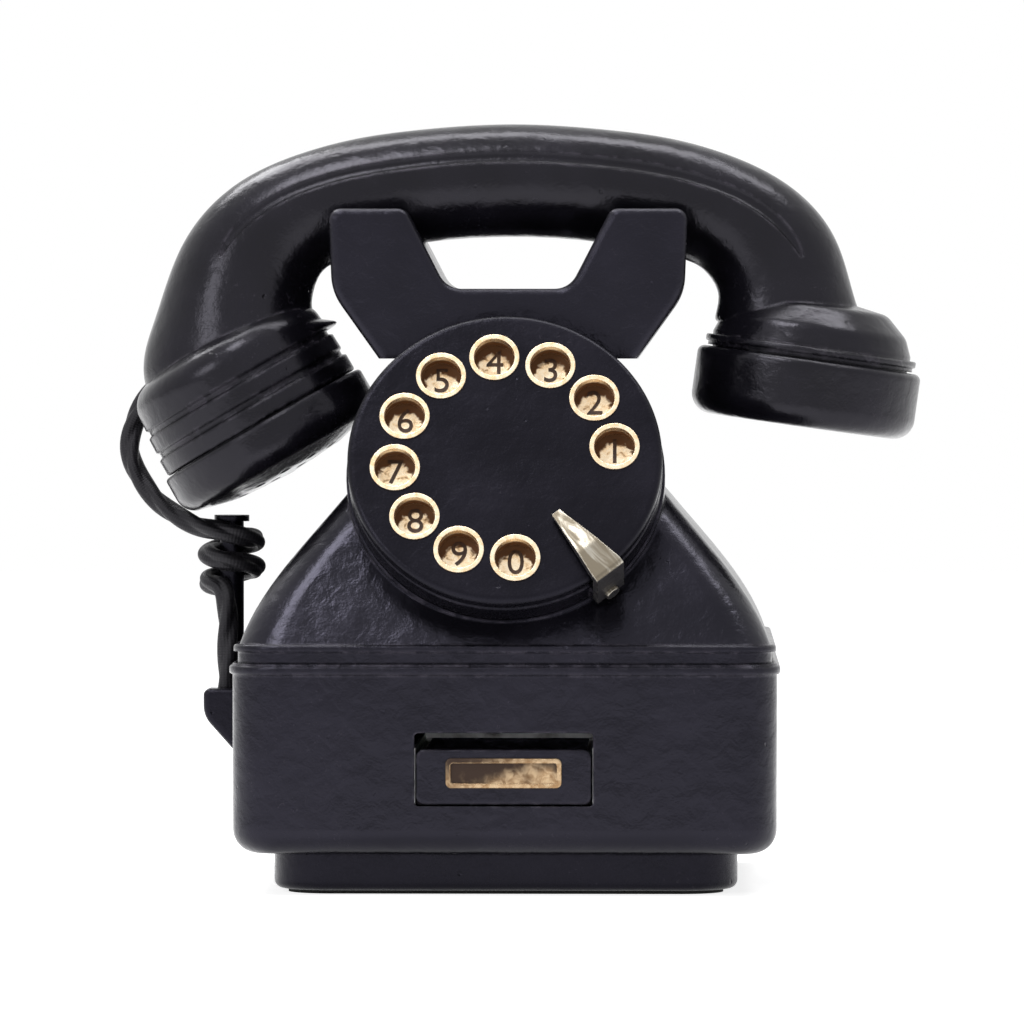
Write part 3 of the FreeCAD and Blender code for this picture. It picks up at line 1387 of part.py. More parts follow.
channel = new_body("drawer_channel")
channel_in = tray_half + size("drawer_gap")
channel_out = channel_in + size("channel_sheet")
channel_floor = size("drawer_bottom") - size("drawer_gap")
channel_under = channel_floor - size("channel_sheet")
channel_top = tray_top + 1.6
channel_length = size("drawer_length") + 1.6
pad(Sketch(channel, "XZ_Plane", (0, 0, -panel_back)).profile([
    (-channel_out, floor_z), (-channel_in, floor_z), (-channel_in, channel_under),
    (channel_in, channel_under), (channel_in, floor_z), (channel_out, floor_z),
    (channel_out, channel_top), (channel_in, channel_top),
    (channel_in, channel_floor), (-channel_in, channel_floor), (-channel_in, channel_top),
    (-channel_out, channel_top)]), channel_length, back=True)
pad(Sketch(channel, "XZ_Plane", (0, 0, -panel_back - channel_length)).rectangle(
    -channel_in - 0.2, channel_under + 0.2, channel_in + 0.2, channel_top), size("channel_sheet"))

# Chassis plate on the corner posts
chassis = new_body("chassis_plate")
pad(across(chassis, size("chassis_z"), half_width - wall - 2, half_depth - wall - 2,
           size("case_corner") - wall - 1), size("chassis_thick"))
chassis_ways = Sketch(chassis, "XY_Plane", (0, 0, chassis_top))
chassis_screws = new_body("chassis_screws")
chassis_heads = Sketch(chassis_screws, "XY_Plane", (0, 0, chassis_top))
chassis_shanks = Sketch(chassis_screws, "XY_Plane", (0, 0, chassis_top))
for x, y in post_corners:
    chassis_ways.circle(x, y, 1.8)
    chassis_heads.circle(x, y, 3.2)
    chassis_shanks.circle(x, y, 1.5)
pocket(chassis_ways, size("chassis_thick") + 1)
pad(chassis_heads, 2.0)
pad(chassis_shanks, 12, back=True)

# Ringer: two gongs on posts, two coils on a yoke and a clapper on a pin
gong_low = chassis_top + 4
gong_top = gong_low + size("gong_height")
gong_seat = gong_top - size("gong_wall")
gong_posts = new_body("gong_posts")
gong_nuts = new_body("gong_nuts")
post_low = Sketch(gong_posts, "XY_Plane", (0, 0, chassis_top))
post_high = Sketch(gong_posts, "XY_Plane", (0, 0, gong_seat))
nut = Sketch(gong_nuts, "XY_Plane", (0, 0, gong_top))
for hand, name in ((-1, "gong_left"), (1, "gong_right")):
    x = hand * size("gong_x")
    gong = new_body(name)
    put(gong, x, size("gong_y"), 0)
    ring(gong, [
        (2.6, gong_seat), (size("gong_radius") - 8.5, gong_seat, 5),
        (size("gong_radius") - size("gong_wall"), gong_low), (size("gong_radius"), gong_low),
        (size("gong_radius") - 7.0, gong_top, 7), (2.6, gong_top)])
    post_low.circle(x, size("gong_y"), 4.5)
    post_high.circle(x, size("gong_y"), 2.5)
    nut.circle(x, size("gong_y"), 4.5).circle(x, size("gong_y"), 2.55)
pad(post_low, gong_seat - chassis_top)
pad(post_high, size("gong_wall") + 4)
pad(nut, 3)

pivot_y = size("pivot_y")
yoke_top = chassis_top + 2
yoke = fuse("ringer_yoke", [
    box("yoke_foot", (-20, -22, chassis_top), (20, pivot_y + 5, yoke_top)),
    box("yoke_back", (-20, -22, yoke_top - 0.5), (20, -19.5, chassis_top + 22))])
keep("ringer_yoke", yoke)
coil_z = chassis_top + 12
coils = new_body("ringer_coils")
windings = Sketch(coils, "XZ_Plane", (0, 0, 19.5))
poles = Sketch(coils, "XZ_Plane", (0, 0, -3))
for hand in (-1, 1):
    windings.circle(hand * size("coil_x"), coil_z, size("coil_radius"))
    poles.circle(hand * size("coil_x"), coil_z, 3.0)
pad(windings, 22.5, back=True)
pad(poles, pivot_y - 6, back=True)
keep("clapper_pin", cylinder("clapper_pin", 1.5, (0, pivot_y, yoke_top), 19))
hub_z = yoke_top + 1
ball_z = chassis_top + 7
clapper_body = fuse("clapper_body", [
    cylinder("clapper_hub", 3.5, (0, pivot_y, hub_z), 16),
    box("clapper_armature", (-16, pivot_y - 1, hub_z + 1), (16, pivot_y + 1, hub_z + 15)),
    cylinder("clapper_rod", 1.1, (0, pivot_y + 2.5, ball_z), size("gong_y") - pivot_y - 2.5, "y"),
    solid("Sphere", "clapper_ball", (0, size("gong_y"), ball_z), Radius=size("ball_radius"))])
keep("clapper", cut("clapper", clapper_body,
                    cylinder("clapper_bore", 1.5 + size("bearing_clearance"), (0, pivot_y, hub_z - 1), 18)))

# Circuit parts on the chassis
can_left = 14.5 - half_width
coil_right = half_width - 16.5
keep("capacitor", box("capacitor", (can_left, -60, chassis_top), (can_left + 31, -40, chassis_top + 16)))
keep("induction_coil", fuse("induction_coil", [
    cylinder("coil_winding", 8, (coil_right - 28, -50, chassis_top + 9), 26, "x"),
    box("coil_cheek_near", (coil_right - 30, -59, chassis_top), (coil_right - 27.5, -41, chassis_top + 18)),
    box("coil_cheek_far", (coil_right - 2.5, -59, chassis_top), (coil_right, -41, chassis_top + 18))]))
terminals = new_body("terminal_strip")
pad(Sketch(terminals, "XY_Plane", (0, 0, chassis_top)).rectangle(-26, -64, 26, -52, 1.5), 7)
terminal_screws = new_body("terminal_screws")
terminal_heads = Sketch(terminal_screws, "XY_Plane", (0, 0, chassis_top + 7))
for index in range(6):
    terminal_heads.circle(-21 + 8.4 * index, -58, 2.6)
pad(terminal_heads, 1.8)

# Switch that the cradle stem works
switch_low = stem_bottom - 10.8
keep("switch_bracket", box("switch_bracket", (-34, 0, chassis_top), (-26, 8, switch_low)))
insulators, springs = [], []
height = switch_low
for index, block in enumerate((3.0, 3.0, 3.0, 2.0)):
    insulators.append(box("switch_block_%d" % index, (-34, 0, height), (-26, 8, height + block)))
    height = height + block
    if index < 3:
        springs.append(box("switch_leaf_%d" % index, (-34, 1, height), (cradle_y, 7, height + 0.5)))
        height = height + 0.5
group("switch_insulators", insulators)
group("switch_springs", springs)

# Grommet for the line cord in the rear wall
grommet = new_body("line_cord_grommet")
inlet_x = size("inlet_x")
inlet_z = size("inlet_z")
pad(Sketch(grommet, "XZ_Plane", (0, 0, -half_depth - 1.8))
    .circle(inlet_x, inlet_z, size("inlet_radius") + 2.4)
    .circle(inlet_x, inlet_z, size("inlet_bore")), 1.8)
pad(Sketch(grommet, "XZ_Plane", (0, 0, -half_depth)).circle(inlet_x, inlet_z, size("inlet_radius"))
    .circle(inlet_x, inlet_z, size("inlet_bore")), wall + 1)

# Check every object, then write one file for each piece
doc.recompute()
for item in doc.Objects:
    if "Invalid" in item.State or "Error" in item.State:
        raise RuntimeError("object in error: " + item.Label)
for name, item in nodes.items():
    if item.Shape.isNull() or not item.Shape.isValid():
        raise RuntimeError("bad shape: " + name)
    item.Shape.exportStep("parts/%s.step" % name)
    bounds = item.Shape.BoundBox
    print("%-22s %d solids %10.1f mm3  x %.1f %.1f  y %.1f %.1f  z %.1f %.1f" % (
        name, len(item.Shape.Solids), item.Shape.Volume, bounds.XMin, bounds.XMax, bounds.YMin, bounds.YMax,
        bounds.ZMin, bounds.ZMax))
print(len(nodes), "pieces")
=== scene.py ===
"""Rotary-dial desk telephone: finishes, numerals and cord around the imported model.

Metres and degrees, +Z up, the dial looks out along -Y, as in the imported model.
"""

import json
import logging
import math
from dataclasses import dataclass
from enum import Enum
from typing import Any, Callable, Dict, List, Mapping, Optional, Sequence, Tuple, Union

import bmesh
import bpy
from mathutils import Matrix, Vector


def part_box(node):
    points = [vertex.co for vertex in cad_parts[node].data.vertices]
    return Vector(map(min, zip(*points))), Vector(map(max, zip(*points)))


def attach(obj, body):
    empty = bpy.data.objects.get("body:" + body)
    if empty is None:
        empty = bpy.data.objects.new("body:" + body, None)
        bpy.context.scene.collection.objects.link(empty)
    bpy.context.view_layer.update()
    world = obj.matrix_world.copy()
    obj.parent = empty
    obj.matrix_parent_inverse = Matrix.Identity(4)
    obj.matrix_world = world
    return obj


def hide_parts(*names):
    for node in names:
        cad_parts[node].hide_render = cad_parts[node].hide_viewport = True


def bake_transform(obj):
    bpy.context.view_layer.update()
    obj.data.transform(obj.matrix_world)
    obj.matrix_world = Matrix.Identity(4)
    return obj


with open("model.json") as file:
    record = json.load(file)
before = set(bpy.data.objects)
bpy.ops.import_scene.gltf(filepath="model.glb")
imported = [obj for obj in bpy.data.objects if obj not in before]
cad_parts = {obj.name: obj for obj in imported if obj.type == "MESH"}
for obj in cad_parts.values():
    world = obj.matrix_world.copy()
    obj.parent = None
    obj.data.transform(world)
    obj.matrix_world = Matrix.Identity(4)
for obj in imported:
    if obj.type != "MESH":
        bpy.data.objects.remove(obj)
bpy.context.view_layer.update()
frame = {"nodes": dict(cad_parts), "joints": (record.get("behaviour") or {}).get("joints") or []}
log = logging.getLogger("telephone")

MM = 0.001
Colour = Tuple[float, float, float]
Operand = Union["Term", float, Sequence[float]]


class Slot(Enum):
    """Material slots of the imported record."""

    BLACK_BODY = "black_body"
    BLACK_ENAMEL = "black_enamel"
    ANTIQUE_GOLD = "antique_gold"
    SILVER = "silver"
    CORD_FABRIC = "cord_fabric"
    BLACK_RUBBER = "black_rubber"
    FELT = "felt"
    STEEL = "steel"
    BRASS = "brass"
    NICKEL_SILVER = "nickel_silver"
    CAPSULE_METAL = "capsule_metal"
    INSULATION = "insulation"


class Body(Enum):
    """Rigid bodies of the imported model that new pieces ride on."""

    CASE = "case"
    HANDSET = "handset"
    DRAWER = "drawer_box"


class Term:
    """A socket that can stand in a sum; each sign adds a Math node."""

    def __init__(self, graph: "Graph", socket: bpy.types.NodeSocket) -> None:
        """Hold a socket and the graph that it belongs to."""
        self.graph = graph
        self.socket = socket

    def _math(self, operation: str, left: Operand, right: Operand) -> "Term":
        """Return the outcome of a Math node on two operands."""
        return self.graph.node("ShaderNodeMath", {"operation": operation},
                               {"Value": left, "Value_001": right})

    def __add__(self, other: Operand) -> "Term":
        """Return self + other."""
        return self._math("ADD", self, other)

    def __radd__(self, other: Operand) -> "Term":
        """Return other + self."""
        return self._math("ADD", other, self)

    def __sub__(self, other: Operand) -> "Term":
        """Return self - other."""
        return self._math("SUBTRACT", self, other)

    def __rsub__(self, other: Operand) -> "Term":
        """Return other - self."""
        return self._math("SUBTRACT", other, self)

    def __mul__(self, other: Operand) -> "Term":
        """Return self * other."""
        return self._math("MULTIPLY", self, other)

    def __rmul__(self, other: Operand) -> "Term":
        """Return other * self."""
        return self._math("MULTIPLY", other, self)

    def larger(self, other: Operand) -> "Term":
        """Return the larger of two values."""
        return self._math("MAXIMUM", self, other)

    def sine(self) -> "Term":
        """Return the sine of a value in radians."""
        return self.graph.node("ShaderNodeMath", {"operation": "SINE"}, {"Value": self})

    def between(self, low: float, high: float) -> "Term":
        """Return 0 below low, 1 above high and a smooth step between them."""
        return self.graph.node("ShaderNodeMapRange", {"interpolation_type": "SMOOTHSTEP"},
                               {"Value": self, "From Min": low, "From Max": high})


class Graph:
    """The node tree of one material, or of a world."""

    def __init__(self, name: str, holder: Any = None) -> None:
        """Start an empty tree, on a new material of that name or on the holder given."""
        self.material = holder or bpy.data.materials.new(name)
        self.material.use_nodes = True
        self.tree = self.material.node_tree
        self.tree.nodes.clear()

    @staticmethod
    def _find(sockets: Any, key: Union[int, str]) -> bpy.types.NodeSocket:
        """Return the socket with that number, identifier or name."""
        if isinstance(key, int):
            return sockets[key]
        for socket in sockets:
            if socket.identifier == key:
                return socket
        return sockets[key]

    def node(self, kind: str, settings: Optional[Mapping[str, Any]] = None,
             inputs: Optional[Mapping[Union[int, str], Operand]] = None,
             output: Union[int, str] = 0) -> Term:
        """Add a node.

        Args:
            kind: the node's type.
            settings: its own properties, set first; "stops" is a ramp's list of (place, colour).
            inputs: a value or a link for each named socket.
            output: the socket to return.
        Returns:
            The chosen output.
        """
        item = self.tree.nodes.new(kind)
        for key, value in (settings or {}).items():
            if key == "stops":
                while len(item.color_ramp.elements) < len(value):
                    item.color_ramp.elements.new(1.0)
                for element, (place, colour) in zip(item.color_ramp.elements, value):
                    element.position = place
                    element.color = (*colour, 1.0)
            else:
                setattr(item, key, value)
        for key, value in (inputs or {}).items():
            socket = self._find(item.inputs, key)
            if isinstance(value, Term):
                self.tree.links.new(value.socket, socket)
            else:
                socket.default_value = value
        return Term(self, self._find(item.outputs, output))

    def place(self) -> Term:
        """Return the place on the piece, in the row frame at rest."""
        return self.node("ShaderNodeTexCoord", output="Object")

    def noise(self, where: Term, scale: float, detail: float = 2.0, stretch: float = 0.0) -> Term:
        """Return a cloudy value about one half.

        Args:
            where: the place to read it at.
            scale: blotches per metre.
            detail: levels of finer blotches.
            stretch: how far the blotches are pulled about.
        Returns:
            The value.
        """
        return self.node("ShaderNodeTexNoise", None, {
            "Vector": where, "Scale": scale, "Detail": detail, "Distortion": stretch}, "Fac")

    def dot(self, left: Term, right: Operand) -> Term:
        """Return the dot product of two vectors."""
        return self.node("ShaderNodeVectorMath", {"operation": "DOT_PRODUCT"},
                         {"Vector": left, "Vector_001": right}, "Value")

    def blend(self, share: Operand, first: Operand, second: Operand) -> Term:
        """Return a colour between two colours."""
        first = first if isinstance(first, Term) else (*first, 1.0)
        second = second if isinstance(second, Term) else (*second, 1.0)
        return self.node("ShaderNodeMix", {"data_type": "RGBA"}, {
            "Factor_Float": share, "A_Color": first, "B_Color": second}, "Result_Color")

    def soft_edges(self, radius: float) -> Tuple[Term, Term]:
        """Return a normal that rounds the edges, and a mask that is 1 on them."""
        rounded = self.node("ShaderNodeBevel", {"samples": 4}, {"Radius": radius})
        plain = self.node("ShaderNodeNewGeometry", output="Normal")
        edge = (1.0 - self.dot(rounded, plain)).between(0.008, 0.09)
        return rounded, edge

    def seen(self) -> Term:
        """Return 1 where the camera sees the place, straight or in gloss or through glass."""
        ray = self.node("ShaderNodeLightPath", output="Is Camera Ray")
        gloss = Term(self, ray.socket.node.outputs["Is Glossy Ray"])
        through = Term(self, ray.socket.node.outputs["Is Transmission Ray"])
        return ray.larger(gloss).larger(through)

    def bump(self, height: Term, strength: float, normal: Optional[Term] = None) -> Term:
        """Return the normal that a height in millimetres gives."""
        inputs: Dict[Union[int, str], Operand] = {
            "Strength": strength, "Distance": MM, "Height": height}
        if normal is not None:
            inputs["Normal"] = normal
        return self.node("ShaderNodeBump", None, inputs)

    def surface(self, **inputs: Operand) -> bpy.types.Material:
        """Finish the material with one principled shader.

        Args:
            inputs: socket names with underscores for spaces.
        Returns:
            The material.
        """
        named = {key.replace("_", " "): value for key, value in inputs.items()}
        for key in ("Base Color", "Specular Tint"):
            if key in named and not isinstance(named[key], Term):
                named[key] = (*named[key], 1.0)
        return self.close(self.node("ShaderNodeBsdfPrincipled", None, named))

    def close(self, shader: Term, kind: str = "ShaderNodeOutputMaterial") -> bpy.types.Material:
        """Send a shader to an output node of that kind and return the material."""
        output = self.tree.nodes.new(kind)
        self.tree.links.new(shader.socket, output.inputs["Surface"])
        return self.material


@dataclass(frozen=True)
class BlackGloss:
    """Semi-gloss black with a cool sheen, cast a little uneven and rubbed on its edges."""

    tone: Colour = (0.0034, 0.0032, 0.0046)
    drift: Colour = (0.0076, 0.0070, 0.0104)
    rubbed: Colour = (0.125, 0.112, 0.142)
    sheen: Colour = (0.76, 0.73, 1.0)
    roughness: float = 0.215
    gloss: float = 0.26
    coat: float = 0.05
    lumps: float = 1.0
    rubbing: float = 0.6
    edge: float = 1.1 * MM

    def material(self, name: str) -> bpy.types.Material:
        """Return the finish as a material."""
        graph = Graph(name)
        place = graph.place()
        slow = graph.noise(place, 42.0, 2.0)
        blotch = graph.noise(place, 230.0, 3.0, 0.4)
        grain = graph.noise(place, 1500.0, 2.0)
        cells = graph.node("ShaderNodeTexVoronoi", None, {"Vector": place, "Scale": 170.0}, "Distance")
        pits = (1.0 - cells.between(0.04, 0.15)) * blotch.between(0.55, 0.68)
        rounded, edge = graph.soft_edges(self.edge)
        scuffs = graph.noise(place, 610.0, 4.0, 1.4).between(0.63, 0.74) * slow.between(0.48, 0.66)
        worn = (edge * blotch.between(0.42, 0.66)).larger(scuffs * 0.35) * self.rubbing
        colour = graph.blend(slow.between(0.35, 0.7), self.tone, self.drift)
        colour = graph.blend(worn, colour, self.rubbed)
        rough = self.roughness + (slow - 0.5) * 0.18 + (grain - 0.5) * 0.16 + worn * 0.12
        height = slow * (1.1 * self.lumps) + blotch * (0.30 * self.lumps) + grain * 0.05 - pits * 0.35
        return graph.surface(
            Base_Color=colour, Roughness=rough, Normal=graph.bump(height, 0.7, rounded),
            Specular_IOR_Level=self.gloss, Specular_Tint=self.sheen,
            Coat_Weight=self.coat, Coat_Roughness=0.2)


@dataclass(frozen=True)
class AntiqueGold:
    """Pale gold with brown patina in its recesses."""

    bright: Colour = (0.96, 0.81, 0.60)
    warm: Colour = (0.85, 0.61, 0.36)
    brown: Colour = (0.15, 0.058, 0.016)
    roughness: float = 0.27

    def material(self, name: str, recess: Callable[[Graph, Term], Term],
                 mottle: float = 0.35) -> bpy.types.Material:
        """Return the finish as a material.

        Args:
            name: the material's name.
            recess: makes the mask of the recesses, and of painted shade where a piece has it, from the graph and the
                place.
            mottle: how much the patina breaks up.
        Returns:
            The material.
        """
        graph = Graph(name)
        place = graph.place()
        blotch = graph.noise(place, 520.0, 3.0, 0.6)
        grain = graph.noise(place, 2600.0, 2.0)
        rounded, edge = graph.soft_edges(0.35 * MM)
        # The stain follows that mask: patina, and on the cups and the drawer plate also painted shade.
        broken = recess(graph, place) + (blotch - 0.5) * (2.0 * mottle) - edge * 0.6
        stain = broken.between(0.25, 0.75)
        colour = graph.blend(blotch.between(0.35, 0.7), self.bright, self.warm)
        colour = graph.blend(stain, colour, self.brown)
        rough = self.roughness + stain * 0.32 + (grain - 0.5) * 0.16
        height = blotch * 0.05 + grain * 0.014
        return graph.surface(
            Base_Color=colour, Roughness=rough, Metallic=1.0 - stain * 0.65,
            Normal=graph.bump(height, 0.6, rounded))


@dataclass(frozen=True)
class SilverPlateWithSideShade:
    """Silver plating on the face that looks out and on its edges, with painted shade on the sides that look
    elsewhere.
    """

    silver: Colour = (0.46, 0.43, 0.37)
    tarnish: Colour = (0.13, 0.105, 0.070)
    # The near-black colour painted on the sides as shade.
    side_shade: Colour = (0.03, 0.028, 0.03)
    roughness: float = 0.26

    def material(self, name: str, outward: Vector, along: Vector) -> bpy.types.Material:
        """Return the finish as a material.

        Args:
            name: the material's name.
            outward: the direction that the plated face looks in.
            along: the direction of the polishing marks.
        Returns:
            The material.
        """
        graph = Graph(name)
        place = graph.place()
        side = outward.cross(along).normalized()
        streaks = graph.node("ShaderNodeCombineXYZ", None, {
            "X": graph.dot(place, along) * 0.16, "Y": graph.dot(place, side),
            "Z": graph.dot(place, outward)})
        marks = graph.noise(streaks, 1500.0, 3.0)
        blotch = graph.noise(streaks, 420.0, 3.0, 0.8)
        rounded, edge = graph.soft_edges(0.5 * MM)
        facing = graph.dot(graph.node("ShaderNodeNewGeometry", output="Normal"), tuple(outward))
        # Painted shade: the sides that do not look outward get the near-black colour and no metal, except along
        # their edges.
        silver_face = facing.between(0.25, 0.6).larger(edge)
        stain = (blotch - edge * 0.4).between(0.28, 0.56)
        colour = graph.blend(stain * 0.85, self.silver, self.tarnish)
        colour = graph.blend(silver_face, self.side_shade, colour)
        rough = self.roughness + stain * 0.22 + (marks - 0.5) * 0.2
        return graph.surface(
            Base_Color=colour, Roughness=rough, Metallic=silver_face * 0.95,
            Normal=graph.bump(marks * 0.03 + blotch * 0.05, 0.6, rounded))


@dataclass(frozen=True)
class BraidedCotton:
    """Waxed black braid over twisted cores."""

    dark: Colour = (0.0045, 0.0043, 0.0055)
    thread: Colour = (0.026, 0.0245, 0.029)
    pitch: float = 1.5 * MM
    strands: int = 16

    def material(self, name: str) -> bpy.types.Material:
        """Return the finish as a material; it reads the length and the turn from the cord's own map."""
        graph = Graph(name)
        chart = graph.node("ShaderNodeUVMap", {"uv_map": HandsetCord.CHART})
        split = graph.node("ShaderNodeSeparateXYZ", None, {"Vector": chart}, "X")
        around = split
        along = Term(graph, split.socket.node.outputs["Y"])
        turn = around * (2.0 * math.pi * self.strands / 2)
        run = along * (2.0 * math.pi / self.pitch)
        right = (turn + run).sine()
        left = (turn - run).sine()
        weave = (right * left) * 0.5 + 0.5
        fuzz = graph.noise(graph.place(), 2400.0, 2.0)
        wax = graph.noise(graph.place(), 120.0, 2.0)
        colour = graph.blend(weave * 0.55 + (fuzz - 0.5) * 0.3, self.dark, self.thread)
        rough = 0.62 - wax * 0.22 + (fuzz - 0.5) * 0.2
        return graph.surface(
            Base_Color=colour, Roughness=rough, Specular_Tint=(0.95, 0.93, 1.0),
            Normal=graph.bump(weave * 0.11 + fuzz * 0.05, 0.8), Specular_IOR_Level=0.3)


@dataclass(frozen=True)
class TurnedMetal:
    """Plain machined metal with fine marks and a little dulling."""

    colour: Colour
    dull: Colour
    roughness: float = 0.3
    metallic: float = 1.0

    def material(self, name: str) -> bpy.types.Material:
        """Return the finish as a material."""
        graph = Graph(name)
        place = graph.place()
        blotch = graph.noise(place, 160.0, 3.0, 0.3)
        grain = graph.noise(place, 2200.0, 2.0)
        rounded, edge = graph.soft_edges(0.4 * MM)
        stain = blotch.between(0.45, 0.75) * (1.0 - edge)
        colour = graph.blend(stain, self.colour, self.dull)
        rough = self.roughness + stain * 0.2 + (grain - 0.5) * 0.12
        return graph.surface(
            Base_Color=colour, Roughness=rough, Metallic=self.metallic,
            Normal=graph.bump(grain * 0.02 + blotch * 0.04, 0.5, rounded))


@dataclass(frozen=True)
class MattSolid:
    """Rubber, felt or laminate: a matt body with fibres or grain."""

    colour: Colour
    fleck: Colour
    grain: float
    depth: float
    roughness: float = 0.8

    def material(self, name: str) -> bpy.types.Material:
        """Return the finish as a material."""
        graph = Graph(name)
        place = graph.place()
        fibre = graph.noise(place, self.grain, 4.0, 1.2)
        cloud = graph.noise(place, self.grain * 0.08, 2.0)
        colour = graph.blend(fibre.between(0.42, 0.72), self.colour, self.fleck)
        rough = self.roughness + (fibre - 0.5) * 0.2 - cloud * 0.08
        return graph.surface(Base_Color=colour, Roughness=rough,
                             Normal=graph.bump(fibre * self.depth + cloud * 0.1, 0.7))


@dataclass(frozen=True)
class Enamel:
    """Dark brown filling of the numerals."""

    colour: Colour = (0.040, 0.015, 0.006)
    light: Colour = (0.105, 0.045, 0.016)

    def material(self, name: str) -> bpy.types.Material:
        """Return the finish as a material."""
        graph = Graph(name)
        blotch = graph.noise(graph.place(), 900.0, 3.0, 0.5)
        colour = graph.blend(blotch.between(0.4, 0.7), self.colour, self.light)
        return graph.surface(Base_Color=colour, Roughness=0.42 + (blotch - 0.5) * 0.2,
                             Normal=graph.bump(blotch * 0.05, 0.5))


def joint(name: str) -> Mapping[str, Any]:
    """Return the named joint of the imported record."""
    return next(item for item in frame["joints"] if item["name"] == name)


def dress(material: bpy.types.Material, slot: Slot, *nodes: str, angle: float = 32.0) -> None:
    """Give CAD nodes a material and smooth shading.

    Args:
        material: the finish.
        slot: the record's slot that it belongs to; not used.
        nodes: the names of the nodes.
        angle: faces that meet at less than this many degrees are shaded as one.
    """
    for name in nodes:
        thing = frame["nodes"][name]
        thing.data.materials.clear()
        thing.data.materials.append(material)
        soften(thing.data, angle)
        log.info("%s: %s", name, material.name)


def soften(mesh: bpy.types.Mesh, angle: float) -> None:
    """Shade a mesh smooth, except across edges sharper than an angle in degrees."""
    mesh.polygons.foreach_set("use_smooth", [True] * len(mesh.polygons))
    mesh.set_sharp_from_angle(angle=math.radians(angle))


def new_piece(name: str, mesh: bpy.types.Mesh, material: bpy.types.Material) -> bpy.types.Object:
    """Add a mesh to the scene as a piece with a finish.

    Args:
        name: the piece's name.
        mesh: its mesh, in the row frame.
        material: its finish.
    Returns:
        The new object.
    """
    mesh.name = name
    mesh.materials.clear()
    mesh.materials.append(material)
    piece = bpy.data.objects.new(name, mesh)
    bpy.context.scene.collection.objects.link(piece)
    log.info("%s: %d faces, %s", name, len(mesh.polygons), material.name)
    return piece


